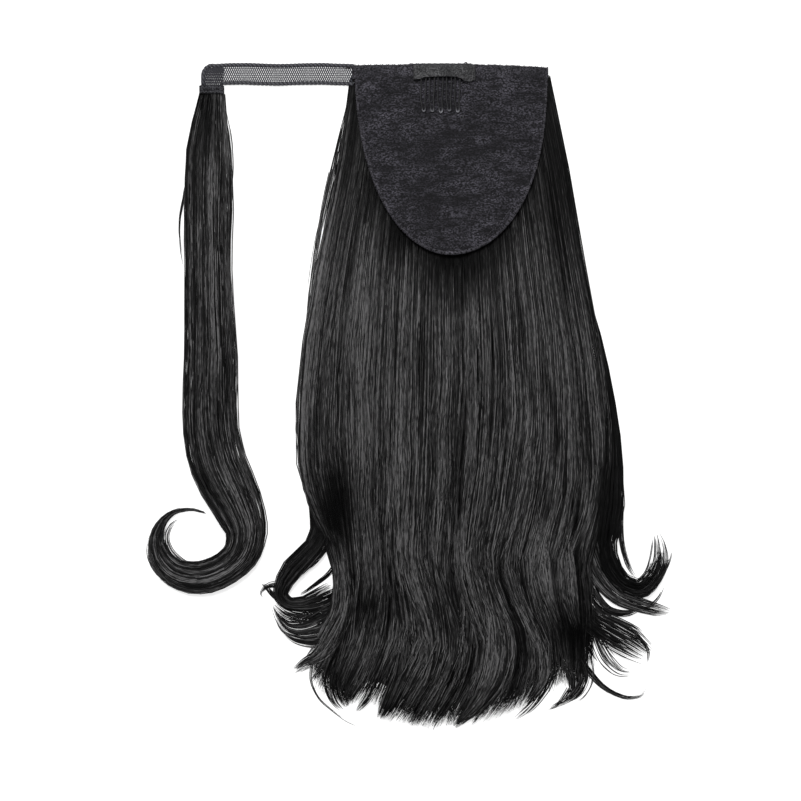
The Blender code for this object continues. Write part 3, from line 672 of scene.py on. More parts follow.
def fallGuides(layer, pick):
    guides = []
    count = layer["guides"]
    first = 0
    second, third = fall["rootLength"]
    while first < count:
        size = min(pick.choice(fall["clumps"]), count - first)
        middle = (first + size / 2) / count
        groupSeed = Vector((pick.random() * 50, 0, 0))
        tipShift = pick.uniform(-4, 2)
        groupTone = pick.uniform(-0.06, 0.07)
        for number in range(first, first + size):
            share = (number + 0.5 + pick.uniform(-0.3, 0.3)) / count
            tip = np.interp(share, flow["tipShares"], flow["tips"]) + tipShift + pick.uniform(-3, 2)
            start = startOf(share) - pick.uniform(0, 4)
            ys = start + third + (tip - start - third) * np.linspace(0, 1, layer["points"] - 2) ** 0.8
            ys = np.concatenate([[start, start + second], ys])
            seed = Vector((pick.random() * 50, 7, 0))
            wander = noiseRow(groupSeed, ys / fall["groupWave"])
            own = noiseRow(seed, ys / fall["ownWave"], 9)
            loose = np.clip(ramp(ys, "looseFrom"), *fall["looseRange"])
            pull = fall["clumpPull"] * np.clip(ramp(ys, "pullFrom"), 0, 1)
            xs = flowPoint(share, ys) * (1 - pull) + flowPoint(middle, ys) * pull
            xs = xs + (1.4 * wander + 0.6 * own) * layer["wander"] * loose
            width = flowPoint(min(share + 0.5 / count, 1), ys) - flowPoint(max(share - 0.5 / count, 0), ys)
            opened = np.clip(ramp(ys, "openFrom"), 0, 1)
            narrow = 1 + (layer["narrow"] - 1) * opened
            tipNarrow = np.clip((tip - ys) / 40, 0, 1) ** 0.6 * 0.3 + 0.7
            half = np.maximum(width, fall["narrowest"]) * 0.95 * narrow * tipNarrow
            points, depths = [], []
            for x, y in zip(xs, ys):
                mx, my = fromPhoto(x, y, fall["chartHeight"])
                rest = heightAt(hairTree, mx, my)
                under = between(capInside(x, y) / 8 + 0.8)
                height = rest * fall["settle"] + layer["lift"] - fall["capRoom"] * under
                points.append((mx, my, max(height, 0.0006)))
                depths.append(fall["depth"] * (1 - 0.7 * under) * min(1.0, 0.4 + rest / 0.010))
            tone = layer["shade"] + groupTone + pick.uniform(-0.05, 0.05)
            depth = np.array(depths) * (1 + 0.5 * opened)
            # the tone rises and falls with the clump's wander: painted light and shade on the clumps
            guides.append(makeGuide(points, half * view["pixel"], depth, tone * (1 + 0.3 * wander), loose))
        first += size
    return guides


def makeFall():
    for name, row in fall["layers"].items():
        layer = dict(zip(fall["columns"], row))
        guides = fallGuides(layer, random.Random(layer["seed"]))
        piece = growHair(name, guides, layer["strands"], layer["radius"], fall["frizz"], fall["frizzLength"],
                         layer["spread"], fall["tipScatter"], layer["seed"])
        paintHair(piece, *fall["paint"])
        finishPiece(piece, ("ponytail_hair",) if name == "fallUnder" else ())


# The body under the strands, in the darkest tone of the hair: painted shade for the hair that lies deep
core = {
    "inset": 8.0,
    "top": 84,
    "tipGap": 26,
    "cornerGap": 30,
    "rows": 52,
    "columns": 32,
    "under": 0.0030,
    "hollow": 0.0025,  # how much lower it lies where the fall is dark
    "chartHeight": 0.010,
}


def makeCore():
    points = []
    for i in range(core["rows"] + 1):
        down = i / core["rows"]
        foot = min(1, (1 - down) * 9 + 0.12)
        top, low = [], []
        for j in range(core["columns"] + 1):
            share = j / core["columns"]
            end = np.interp(share, flow["tipShares"], flow["tips"]) - core["tipGap"]
            end -= core["cornerGap"] * abs(share * 2 - 1) ** 3
            y = core["top"] + (end - core["top"]) * down
            px = flowPoint(share, y) + core["inset"] * (1 - 2 * share)
            edge = min(j, core["columns"] - j) / core["columns"]
            x, yy = fromPhoto(px, y, core["chartHeight"])
            dip = float(patchAt(np.array([px]), np.array([y]))[0][0])
            rest = heightAt(hairTree, x, yy) - core["under"] - core["hollow"] * dip
            top.append(Vector((x, yy, max(rest * foot, 0.0012) * min(1, 0.35 + edge * 8))))
            low.append(Vector((x, yy, 0.0003)))
        points += top + low[::-1]
    piece = loft("hairCore", points, 2 * (core["columns"] + 1), hairFinish)
    shape = bmesh.new()
    shape.from_mesh(piece.data)
    bmesh.ops.recalc_face_normals(shape, faces=shape.faces)
    shape.to_mesh(piece.data)
    shape.free()
    # a tone of nought gives the darkest colour: painted shade
    for name in ("tone", "along", "lot"):
        piece.data.attributes.new(name, "FLOAT", "POINT")
    finishPiece(piece)


# Locks, in pixels of the photo. A side lock leaves the body, and a wave, which has a rise, lies on it.
# A path is rows of x, y, half width
# A lock's shade holds painted light and shade: low where a lock lies in shadow, high on the waves that lie on top
lockColumns = "guides", "strands", "shade", "scatter", "depth", "path", "rise", "roots"
locks = {
    "leftLoop": (7, 28, 0.22, 0.06, 0.0022, (
        (322, 430, 4), (318, 475, 6), (319, 510, 8), (321, 532, 9), (314, 547, 8), (301, 561, 8.5), (290, 573, 8.5),
        (283, 585, 7), (281, 596, 6), (287, 603, 5.5), (303, 604, 6), (320, 599, 9), (335, 592, 10))),
    "leftLoopStrays": (1, 16, 0.15, 0.3, 0.0008, (
        (332, 540, 3), (324, 552, 2), (316, 562, 1.6), (307, 570, 1.2), (296, 580, 0.8))),
    "leftBandStrays": (1, 18, 0.2, 0.3, 0.0008, (
        (336, 566, 3), (327, 576, 2.4), (317, 584, 2), (307, 591, 1.6), (296, 597, 1.2))),
    "leftCurlEnds": (1, 22, 0.3, 0.5, 0.0006, (
        (284, 600, 3), (276, 598, 2.6), (269, 592, 2), (264, 586, 1.4), (261, 584, 0.8))),
    "leftEdgeStrays": (2, 16, 0.5, 0.5, 0.0008, (
        (352, 84, 1), (345, 118, 2), (339, 146, 3), (333, 172, 3.4), (326, 203, 3.4), (319, 240, 3),
        (312, 285, 2.4), (306, 335, 2)), None, 0.4),
    "leftOuterStray": (1, 5, 0.6, 0.4, 0.0004, (
        (330, 180, 1), (322, 212, 1.4), (314, 250, 1.2), (307, 292, 0.8)), None, 0.3),
    "leftBottomStray": (1, 7, 0.4, 0.3, 0.0004, (
        (318, 640, 3), (312, 662, 2), (311, 684, 1.2), (318, 699, 0.9), (333, 713, 0.8), (347, 723, 0.6),
        (358, 728, 0.3))),
    "leftTwigStray": (1, 16, 0.3, 0.6, 0.0006, ((322, 655, 4), (310, 665, 3.4), (299, 671, 2.6), (290, 676, 1.6))),
    "leftFill": (4, 22, 0.28, 0.3, 0.0012, (
        (350, 592, 10), (335, 605, 12), (318, 612, 12), (302, 613, 11), (287, 610, 8), (275, 603, 4))),
    "leftCurlLow": (1, 16, 0.3, 0.5, 0.0006, (
        (287, 590, 4), (276, 585, 3.4), (267, 587, 2.6), (260, 594, 1.6), (264, 601, 0.8))),
    "leftBrush": (5, 22, 0.26, 0.3, 0.0014, (
        (360, 640, 12), (350, 662, 14), (341, 682, 14), (342, 699, 10), (346, 709, 5))),
    "leftFan": (6, 22, 0.36, 0.45, 0.0012, (
        (352, 580, 8), (344, 602, 12), (332, 618, 14), (317, 627, 14), (301, 631, 11), (287, 628, 7),
        (277, 617, 3), (271, 605, 1))),
    "leftFanLow": (3, 22, 0.34, 0.3, 0.0012, (
        (346, 610, 7), (337, 630, 8), (322, 641, 7), (306, 643, 5), (293, 640, 3), (284, 634, 1))),
    "leftWisp": (2, 24, 0.32, 0.3, 0.0010, (
        (342, 632, 7), (329, 648, 7), (315, 657, 5), (303, 663, 3), (293, 670, 0.8))),
    "leftTwig": (1, 24, 0.25, 0.3, 0.0009, ((334, 650, 5), (324, 665, 4), (316, 676, 2.6), (309, 685, 1))),
    "smallTip": (1, 26, 0.22, 0.25, 0.0009, ((380, 668, 6), (372, 688, 5), (365, 701, 3.4), (355, 714, 1))),
    "rightHook": (8, 28, 0.12, 0.22, 0.0022, (
        (588, 300, 3), (601, 350, 4), (609, 400, 6), (613, 450, 8), (611, 490, 11.5), (608, 520, 12.5),
        (604.5, 545, 10), (611, 567, 9), (625, 584, 9), (641, 588, 8.5), (653, 578, 7.5), (661, 562, 6),
        (663, 547, 3))),
    "rightHookOuter": (2, 16, 0.2, 0.2, 0.0010, (
        (606, 560, 3), (618, 584, 3), (634, 596, 3), (650, 590, 3), (662, 576, 2.4), (671, 559, 0.8))),
    "rightStrip": (1, 26, 0.2, 0.1, 0.0010, (
        (613, 430, 4), (618, 470, 4), (620.5, 505, 3.4), (621, 528, 2.8), (623.5, 548, 2.2), (628, 563, 2.2),
        (637, 580, 2.4))),
    "rightWing": (6, 28, 0.52, 0.16, 0.0016, (
        (577, 430, 4), (583, 475, 5), (585, 512, 6), (587, 542, 7), (594, 566, 8), (606, 585, 8), (621, 598, 7),
        (638, 605, 6), (655, 610, 5.5), (671, 613, 3))),
    "rightWingStray": (1, 8, 0.3, 0.3, 0.0005, ((638, 605, 2), (651, 606, 1.6), (659, 599, 1), (665, 587, 0.5))),
    "rightBand": (2, 20, 0.34, 0.2, 0.0010, (
        (588, 570, 5), (597, 597, 5), (611, 611, 3.4), (627, 614, 2.6), (643, 609, 1.4))),
    "rightFan": (6, 22, 0.24, 0.35, 0.0012, (
        (572, 575, 8), (582, 605, 10), (596, 623, 11), (613, 634, 13), (631, 644, 13), (650, 657, 9))),
    "rightFanEdge": (1, 16, 0.3, 0.2, 0.0007, (
        (596, 610, 3), (612, 619, 2.4), (628, 627, 2), (641, 639, 1.8), (649, 652, 1.4), (648, 667, 0.6))),
    "rightSmallTips": (1, 26, 0.18, 0.5, 0.0010, ((578, 610, 5), (586, 635, 5), (591, 650, 3.4), (599, 663, 1))),
    "rightStray": (2, 16, 0.3, 0.3, 0.0008, (
        (548, 600, 4), (562, 632, 4), (577, 656, 3.6), (591, 674, 3), (603, 687, 2.4), (616, 695, 2),
        (631, 699, 1.6), (643, 696, 1.3), (648, 687, 0.8))),
    "rightTipCurl": (3, 22, 0.24, 0.4, 0.0012, (
        (552, 630, 6), (566, 655, 8), (577, 675, 8), (576, 690, 6), (566, 703, 2))),
    "rightTipStray": (1, 10, 0.3, 0.4, 0.0005, ((570, 690, 3), (563, 700, 2), (557, 707, 1.4), (548, 711, 0.5))),
    "rightBottomWisps": (3, 10, 0.35, 0.5, 0.0009, (
        (572, 636, 8), (581, 660, 8), (585, 679, 7), (579, 693, 6), (566, 703, 4), (551, 710, 2))),
    "rightInnerWisps": (3, 10, 0.35, 0.5, 0.0009, (
        (538, 640, 6), (546, 662, 6), (547, 681, 6), (539, 697, 5), (528, 710, 4), (514, 721, 2))),
    "rightOuterArc": (1, 7, 0.3, 0.3, 0.0004, ((652, 588, 1.4), (664, 575, 1.2), (671, 560, 1), (673, 546, 0.6))),
    "rightHookTips": (3, 14, 0.2, 0.6, 0.0008, (
        (640, 590, 6), (653, 577, 7), (660, 560, 7), (660, 545, 5), (657, 531, 2))),
    "rightInsideWisps": (3, 9, 0.5, 0.6, 0.0005, (
        (592, 622, 4), (600, 645, 7), (611, 663, 8), (622, 672, 6), (634, 674, 3))),
    "waveLeft": (5, 28, 0.56, 0.2, 0.0016, (
        (337, 530, 5), (341, 560, 7), (344, 590, 9), (341, 613, 10), (332, 634, 11), (320, 652, 8),
        (305, 664, 3)), 0.0012),
    "waveOne": (4, 26, 0.55, 0.12, 0.0014, (
        (400, 480, 5), (403, 530, 6), (408, 570, 7), (418, 600, 7), (427, 630, 5), (430, 652, 4), (426, 672, 5),
        (416, 694, 6), (402, 716, 3)), 0.0009),
    "waveTwo": (5, 24, 0.48, 0.12, 0.0014, (
        (428, 500, 6), (431, 545, 8), (436, 580, 7), (443, 612, 7), (446, 645, 8), (441, 672, 8), (431, 697, 7),
        (414, 726, 3)), 0.0008),
    "waveThree": (4, 24, 0.46, 0.12, 0.0014, (
        (452, 520, 6), (457, 560, 7), (463, 592, 7), (465, 618, 6), (463, 645, 7), (458, 672, 7), (447, 698, 7),
        (431, 725, 3)), 0.0008),
    "waveFour": (6, 26, 0.5, 0.12, 0.0016, (
        (474, 520, 6), (479, 558, 8), (487, 590, 8), (494, 625, 11), (494, 655, 12), (487, 682, 11),
        (473, 706, 8), (454, 728, 3)), 0.0010),
    "waveFive": (4, 26, 0.58, 0.18, 0.0014, (
        (496, 510, 4), (503, 548, 5), (512, 578, 5), (523, 607, 6), (535, 634, 6), (543, 657, 5), (545, 675, 4),
        (537, 692, 3), (526, 705, 1)), 0.0009),
    "waveSix": (4, 26, 0.50, 0.35, 0.0014, (
        (532, 500, 4), (538, 530, 6), (541, 558, 8), (545, 588, 7), (553, 612, 5), (564, 634, 3)), 0.0007),
    "waveSeven": (4, 26, 0.50, 0.35, 0.0014, (
        (555, 500, 4), (561, 530, 6), (565, 560, 8), (568, 590, 8), (574, 614, 5), (582, 640, 3)), 0.0007),
    "waveEight": (5, 24, 0.44, 0.15, 0.0014, (
        (376, 560, 6), (378, 600, 8), (372, 640, 10), (361, 668, 9), (350, 690, 7), (343, 706, 3)), 0.0006),
    "waveNine": (5, 24, 0.36, 0.15, 0.0014, (
        (396, 600, 7), (404, 640, 9), (400, 672, 9), (391, 696, 8), (380, 720, 4)), 0.0004),
}
lockLook = {
    "radius": (0.00022, 0.0003),  # of a strand in a single lock, and in a wider one
    "frizz": 0.0012,
    "frizzLength": 0.022,
    "toneSpread": 0.9,
    "waveRoots": 0.5,
    "spread": 0.85,  # how much of a lock's width its guides take up
    "wander": 0.35,
    "sink": 0.0035,  # how far the root of a side lock lies in the body
    "sinkLength": 0.35,
    "chartHeight": 0.006,
    "seed": 71,
    # painted shade, painted highlight and sink for each group of locks
    "paint": {"leftLocks": (0.6, 0.45, 0.0), "rightLocks": (0.6, 0.45, 0.0), "waves": (0.55, 0.45, 0.0)},
}


def lockGuides(lock, tree, pick, pointCount=20):
    path = np.array(lock["path"], float)
    steps = np.concatenate([[0], np.cumsum(np.hypot(*np.diff(path[:, :2], axis=0).T))])
    fine = np.linspace(0, steps[-1], 400)
    run = np.gradient(smoothRow(steps, path[:, 0], fine)), np.gradient(smoothRow(steps, path[:, 1], fine))
    turned = np.cumsum(abs(np.gradient(np.unwrap(np.arctan2(run[1], run[0])))))
    spent = fine / steps[-1] + turned / max(turned[-1], 1e-6) * min(turned[-1] / 2, 1.2)
    at = np.interp(np.linspace(0, spent[-1], pointCount), spent, fine)  # closer together in a bend
    px, py, half = (smoothRow(steps, path[:, k], at) for k in range(3))
    half = np.maximum(half, 0.4)
    tangent = np.gradient(np.stack([px, py], 1), axis=0)
    tangent /= np.linalg.norm(tangent, axis=1, keepdims=True)
    rise, depth, count = lock.get("rise"), lock["depth"], lock["guides"]
    guides = []
    for i in range(count):
        offset = ((i + 0.5 + pick.uniform(-0.4, 0.4)) / count * 2 - 1) * lockLook["spread"] if count > 1 else 0
        seed = Vector((pick.random() * 50, 3, 0))
        wander = noiseRow(seed, at / fall["groupWave"])
        shift = (offset + lock.get("wander", lockLook["wander"]) * wander) * half
        gx, gy = px + -tangent[:, 1] * shift, py + tangent[:, 0] * shift
        layer = pick.uniform(-0.25, 0.5)
        points = []
        for x, y, s in zip(gx, gy, np.linspace(0, 1, pointCount)):
            mx, my = fromPhoto(x, y, lockLook["chartHeight"])
            rest = heightAt(tree, mx, my, 0.0015)
            if rise is None:
                sunk = lockLook["sink"] * max(1 - s / lockLook["sinkLength"], 0)
                height = rest * 0.85 - 0.0006 + depth * 0.4 * layer - sunk
            else:
                settled = min(s / 0.4, 1) * min((1 - s) / 0.25, 1)
                height = rest * 0.92 - 0.0012 + (rise + 0.0012) * settled + depth * 0.3 * layer
            points.append((mx, my, max(height, 0.0007)))
        width = half * view["pixel"] * (0.8 / math.sqrt(count) + 0.22)
        # the tone follows the lock's wander: painted light and shade
        shade = (lock["shade"] + pick.uniform(-0.10, 0.12)) * (1 + 0.4 * wander)
        guides.append(makeGuide(points, width, depth * 0.5 * np.minimum(1, half / 5), shade, 0.6))
    return guides


def makeLocks():
    pick = random.Random(lockLook["seed"])
    groups = {}
    for name, row in locks.items():
        lock = dict(zip(lockColumns, row))
        side = "leftLocks" if name.startswith(("left", "small")) else "rightLocks"
        group = groups.setdefault("waves" if lock.get("rise") else side, [])
        made = lockGuides(lock, hairTree, pick)
        roots = lockLook["waveRoots"] if lock.get("rise") else lock.get("roots", 0.0)
        group.append(growHair(name, made, lock["strands"], lockLook["radius"][len(made) > 1], lockLook["frizz"],
                              lockLook["frizzLength"], lockLook["toneSpread"], lock["scatter"],
                              300 + 7 * len(group), roots))
    for kind, pieces in groups.items():
        piece = joinHair(kind, pieces)
        paintHair(piece, *lockLook["paint"][kind])
        finishPiece(piece)


# The wrap strand and the strays beside it, in pixels of the photo: x, y, half width
wrapStrand = {
    "guides": 22, "strands": 27, "shade": 0.42, "depth": 0.0030, "wander": 0.12,
    "path": (
        (211.5, 92, 11), (209.5, 120, 16), (208, 150, 20), (207.5, 200, 20.5), (207.5, 250, 21), (208.5, 300, 22),
        (210, 350, 23), (209.5, 397, 24), (211.5, 436, 25.5), (218, 464, 26), (229, 489, 24.5), (240, 511, 21),
        (246, 532, 17.5), (241, 553, 16), (226, 568, 15), (196, 578, 14), (171, 571, 12), (157.5, 553, 9),
        (155.5, 538, 6.5), (161, 523, 4.2), (172, 513, 2.4), (190, 509.8, 1.2), (206, 513.5, 0.6)),
}
wrapStrays = {
    "rightEdge": ((224, 112, 2), (229, 138, 2.2), (230, 168, 2.4), (228, 205, 2.2), (228, 250, 2), (231, 290, 1.6)),
    "leftEdge": ((193, 160, 2), (184, 190, 1.6), (179, 218, 1), (179, 245, 0.8), (184, 278, 0.6)),
    "rightArc": ((226, 150, 1), (231, 172, 0.8), (231, 203, 0.8), (229, 240, 0.6)),
    "rightLow": ((230, 330, 1.5), (234, 368, 2.4), (236.5, 400, 2.4), (237, 428, 1.4)),
    "curlOuter": ((260, 520, 3), (257, 548, 4), (244, 570, 4), (221, 586, 3.6), (195, 591, 3.4), (169, 585, 3),
                  (153, 572, 2.6), (146, 556, 2), (147, 541, 1.6), (154, 526, 1)),
    "curlInner": ((196, 572, 4), (179, 562, 3.4), (168, 550, 3), (165, 537, 2.4), (170, 525, 2), (181, 518, 1)),
}
wrapLook = {
    "frizz": 0.0014,
    "frizzLength": 0.020,
    "toneSpread": 0.95,
    "body": (0.00034, 0.14),  # strand radius and tip scatter
    "strays": (0.00024, 0.6),
    "strandsOfStray": 12,
    # painted shade, painted highlight and sink
    "paint": (0.85, 0.4, 0.0),
}


def makeWrapStrand():
    pick = random.Random(5)

    def grow(name, guides, strands, kind, seed):
        radius, scatter = wrapLook[kind]
        return growHair(name, guides, strands, radius, wrapLook["frizz"], wrapLook["frizzLength"],
                        wrapLook["toneSpread"], scatter, seed)

    guides = lockGuides(wrapStrand, strandTree, pick, 46)
    pieces = [grow("wrapStrandBody", guides, wrapStrand["strands"], "body", 501)]
    for number, (name, path) in enumerate(wrapStrays.items()):
        stray = {"path": path, "guides": 2 if "curl" in name else 1, "shade": 0.5, "depth": 0.0008}
        guides = lockGuides(stray, strandTree, pick, 30)
        pieces.append(grow(name, guides, wrapLook["strandsOfStray"], "strays", 520 + number))
    piece = joinHair("wrapStrandHair", pieces)
    paintHair(piece, *wrapLook["paint"])
    finishPiece(piece, ("wrap_strand",))


# Cloth and thread finishes
cloths = {  # dark and light colour, grain, relief, how long the grain is, painted shade in the creases
    "crinkledFabric": ((0.0035, 0.0033, 0.0043, 1), (0.084, 0.080, 0.098, 1), 0.00078, 0.9, 1.6, 0.85),
    "foldedFabric": ((0.006, 0.0057, 0.0072, 1), (0.098, 0.094, 0.112, 1), 0.00078, 0.9, 1.35, 0.4),
    "rolledHem": ((0.005, 0.0048, 0.006, 1), (0.11, 0.105, 0.125, 1), 0.0010, 0.8, 1.6, 0.0),
    "wovenTape": ((0.018, 0.018, 0.019, 1), (0.12, 0.12, 0.125, 1), 0.0009, 0.5, 1.0, 0.0),
    "gatheredWeft": ((0.004, 0.004, 0.005, 1), (0.14, 0.14, 0.155, 1), 0.0010, 0.9, 0.6, 0.0),
}
threads = {  # colour, roughness, length of a stripe of painted shade between the beads of a cord
    "overlockThread": ((0.070, 0.067, 0.078, 1), 0.7, 0.0),
    "tapeThread": ((0.060, 0.059, 0.064, 1), 0.7, 0.0),
    "cordedEdge": ((0.068, 0.068, 0.080, 1), 0.7, 0.0026),
    "edgeThread": ((0.092, 0.092, 0.105, 1), 0.7, 0.0026),
    "netThread": ((0.060, 0.062, 0.078, 1), 0.6, 0.0),
    "doubledNetThread": ((0.042, 0.042, 0.051, 1), 0.6, 0.0),
    "knotThread": ((0.012, 0.012, 0.013, 1), 0.7, 0.0),
    "weftThread": ((0.10, 0.10, 0.112, 1), 0.7, 0.0),
}
threadLook = {
    "specular": 0.3,
    "fibres": 2600.0,
    "dark": (0.45, 0.12),  # share of its colour in a plain thread's dark places and in a striped one's painted shade
    "slant": 0.8,
    "relief": (0.5, 0.0001),
}
capPaintedShade = (  # painted shade on the cap: x, y, half width, half height, strength
    (-0.0140, -0.0800, 0.0130, 0.0480, 0.55),
    (0.0060, -0.0480, 0.0500, 0.0170, 0.28),
    (0.0180, -0.0300, 0.0220, 0.0150, 0.22),
    (0.0100, -0.0880, 0.0160, 0.0100, 0.25),
)
clothLook = {
    "roughness": 0.85,
    "specular": 0.2,
    "fine": (5.5, -2.4),  # gain and shift of the fine grain and of the broad blotches
    "toneWithPaintedLight": (1.8, -0.35),
    "blotchScale": 0.1,
    "creases": (34.0, 210.0, 0.0),  # how closely the lines of painted crease shade lie, along the cap's width and depth
    "creaseGain": 22.0,
    "relief": 0.4,
}


def stretched(graph, value, gain, shift):
    settings = {"operation": "MULTIPLY_ADD", "use_clamp": True}
    return graph.node("ShaderNodeMath", settings, {0: value, 1: gain, 2: shift})


def addRelief(graph, shader, strength, distance, height):
    values = {"Strength": strength, "Distance": distance, "Height": height}
    graph.node("ShaderNodeBump", None, values).feed(shader, "Normal")


def clothFinish(name, darker=()):
    dark, light, grain, bump, stretch, creaseShade = cloths[name]
    finish, graph, shader = newFinish(name, clothLook["roughness"], clothLook["specular"])
    place = graph.node("ShaderNodeTexCoord", outlet="Object")
    scaled = place.vector("MULTIPLY", (1 / (grain * stretch), 1 / grain, 1 / grain))
    crepe = graph.noise(scaled, 1.0, 2.0, Roughness=0.6)
    tone = stretched(graph, crepe, *clothLook["fine"])
    toneWithPaintedLight = stretched(graph, graph.noise(scaled, clothLook["blotchScale"], 2.0), *clothLook["toneWithPaintedLight"])
    # painted shade along the creases
    if creaseShade:
        folds = graph.noise(place.vector("MULTIPLY", clothLook["creases"]), 1.0, 2.0) - 0.5
        crease = (folds.math("ABSOLUTE", folds, 0.5) * clothLook["creaseGain"]).clamped()
        tone = tone * (1 - creaseShade + crease * creaseShade)
    # painted shade at the given places
    for x, y, width, height, strength in darker:
        offset = place.vector("SUBTRACT", (x, y, 0)).vector("MULTIPLY", (1 / width, 1 / height, 0))
        away = graph.node("ShaderNodeVectorMath", {"operation": "LENGTH"}, {0: offset}, "Value")
        toneWithPaintedLight = toneWithPaintedLight * (1 - (1 - away * away).clamped() * strength)
    graph.mix(tone * toneWithPaintedLight, dark, light).feed(shader, "Base Color")
    addRelief(graph, shader, bump, grain * clothLook["relief"], crepe)
    return finish


def threadFinish(name):
    colour, roughness, shadeStripe = threads[name]
    finish, graph, shader = newFinish(name, roughness, threadLook["specular"])
    place = graph.node("ShaderNodeTexCoord", outlet="Object")
    fibres = graph.noise(place, threadLook["fibres"], 1.0)
    tone = fibres
    # painted shade between the beads of a corded edge
    if shadeStripe:
        turn = (place.axis(0) + place.axis(1) * threadLook["slant"]) / shadeStripe
        angle = turn * 2 * math.pi
        tone = (fibres * 0.4 + angle.math("SINE", angle, 0.5) * 0.45 + 0.35).clamped()
    dark = tuple(c * threadLook["dark"][shadeStripe > 0] for c in colour[:3]) + (1,)
    graph.mix(tone, dark, colour).feed(shader, "Base Color")
    addRelief(graph, shader, *threadLook["relief"], fibres)
    return finish


def tubeMesh(name, points, radii, sides, finish):
    points = [Vector(p) for p in points]
    count = len(points)
    radii = np.broadcast_to(radii, count)
    made = []
    for i, point in enumerate(points):
        before, after = points[max(i - 1, 0)], points[min(i + 1, count - 1)]
        along = (after - before).normalized()
        up = Vector((0, 0, 1)) if abs(along.z) < 0.9 else Vector((0, 1, 0))
        side = along.cross(up).normalized()
        up = side.cross(along)
        for j in range(sides):
            turn = 2 * math.pi * j / sides
            made.append(point + (side * math.cos(turn) + up * math.sin(turn)) * radii[i])
    return loft(name, made, sides, finish)


# Geometry Nodes tree that winds slanted loops of thread round a line
def makeWrapTree():
    graph, inlet = newTree("threadRoundLine", {
        "Spacing": 0.0014, "Loop radius": 0.0013, "Thread radius": 0.0002, "Slant": 0.4, "Seed": 1,
    })
    line = graph.node("GeometryNodeMeshToCurve", None, {0: inlet["Geometry"]})
    line = graph.node("GeometryNodeResampleCurve", {"mode": "LENGTH"}, {0: line, 3: inlet["Spacing"]})
    ring, thread = (
        graph.node("GeometryNodeCurvePrimitiveCircle", {"mode": "RADIUS"}, {0: sides, 4: inlet[radius]})
        for sides, radius in ((9, "Loop radius"), (4, "Thread radius")))
    loop = graph.node("GeometryNodeCurveToMesh", None, {0: ring, 1: thread})
    loop = graph.node("GeometryNodeSetShadeSmooth", None, {0: loop})
    tangent = graph.node("GeometryNodeInputTangent")
    facing = graph.node("FunctionNodeAlignRotationToVector", {"axis": "Z"}, {2: tangent})
    index = graph.node("GeometryNodeInputIndex")
    turn = index.math("MODULO", index, 2.0) * 2 - 1
    jitter = graph.node("FunctionNodeRandomValue", {"data_type": "FLOAT"}, {2: 0.7, 3: 1.25, 8: inlet["Seed"]}, 1)
    slant = graph.vectorOf(turn * inlet["Slant"] * jitter, turn * inlet["Slant"] * 0.4)
    tilt = graph.node("FunctionNodeEulerToRotation", None, {0: slant})
    turned = graph.node("FunctionNodeRotateRotation", {"rotation_space": "LOCAL"}, {0: facing, 1: tilt})
    loops = graph.node("GeometryNodeInstanceOnPoints", None, {0: line, 2: loop, 5: turned, 6: jitter * 0.25 + 0.78})
    return endTree(graph, loops, inlet["Material"])


threadRoundLine = makeWrapTree()


def windThread(name, points, finish, spacing, loopRadius, threadRadius, slant, seed):
    data = bpy.data.meshes.new(name)
    data.from_pydata([tuple(p) for p in points], [(i, i + 1) for i in range(len(points) - 1)], [])
    return runTree(name, data, threadRoundLine, {
        "Spacing": spacing, "Loop radius": loopRadius, "Thread radius": threadRadius, "Slant": slant, "Seed": seed,
        "Material": finish,
    })


# The cap; the fall's middle line is x = 0 and the band's upper edge is at capTop
cap = {
    "width": 0.1218,
    "depth": 0.1230,
    "roundness": (2.15, 2.5),  # left and right; over 2, so that the tongue is squarer than an ellipse
    "fuller": 0.0012,  # how much wider the right half is
    "bandHeight": 0.0096,
    "overhang": 0.0018,  # how far the band passes the tongue on each side
    "bindingRadius": 0.00125,
    "clothThickness": 0.0012,
    "creaseDepth": 0.00055,
    "creaseLength": 0.034,
    "creasePitch": 0.0052,
    "columns": 116,
    "rows": 104,
    "inset": 0.0014,  # from the outline to the cloth and to its seam
    "seamInset": 0.0046,
    "hemSteps": 180,
    "hemStart": 0.9,  # where the hem starts, as a share of the band's height
    "seamIn": 0.0034,
    "seamSteps": (50, 131),
    "underBand": 0.0012,  # how far the cloth runs in under the band
    "clothEnd": 0.9995,
    "clothSink": 0.0001,
    "hemWobble": 0.10,
    "overlock": (0.0017, 0.00132, 0.00019, 0.45, 5),  # spacing, loop radius, thread radius, slant, seed
    "seam": (0.0021, 0.0006, 0.0002, 0.9, 6),
}
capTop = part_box("cap_top_band")[1][1]
capTree = treeOf("cap_panel")
bandTree = treeOf("cap_top_band")
bindingTree = treeOf("cap_edge_binding")
hemThread = threadFinish("overlockThread")


def capHalfWidth(below, inset=0.0, side=-1):
    share = below / (cap["depth"] - inset)
    half = cap["width"] / 2 - inset + (cap["fuller"] if side > 0 else 0)
    return half * math.sqrt(max(1 - share ** cap["roundness"][side > 0], 0))


def capHeight(tree, x, y, inset, reach=0.0012):
    share = between((capTop - y) / cap["depth"], 0, 0.995)
    inside = (cap["width"] / 2 - inset) * math.sqrt(1 - share ** cap["roundness"][0])
    return surfaceAt(tree, between(x, -inside, inside), y, reach)


def creaseAt(x, y):
    bend = 0.004 * noise.noise(Vector((x * 40, y * 40, 3)))
    along, across = x / cap["creaseLength"], (y + bend) / cap["creasePitch"]
    line = abs(noise.noise(Vector((along, across, 0)))) * 4.5
    fine = noise.noise(Vector((along * 3.1, across * 2.3, 8)))
    patch = between(0.45 + 1.3 * noise.noise(Vector((x * 26, y * 26, 5))), 0.1)
    return cap["creaseDepth"] * (0.35 * fine - patch * max(1 - line, 0) ** 1.5)


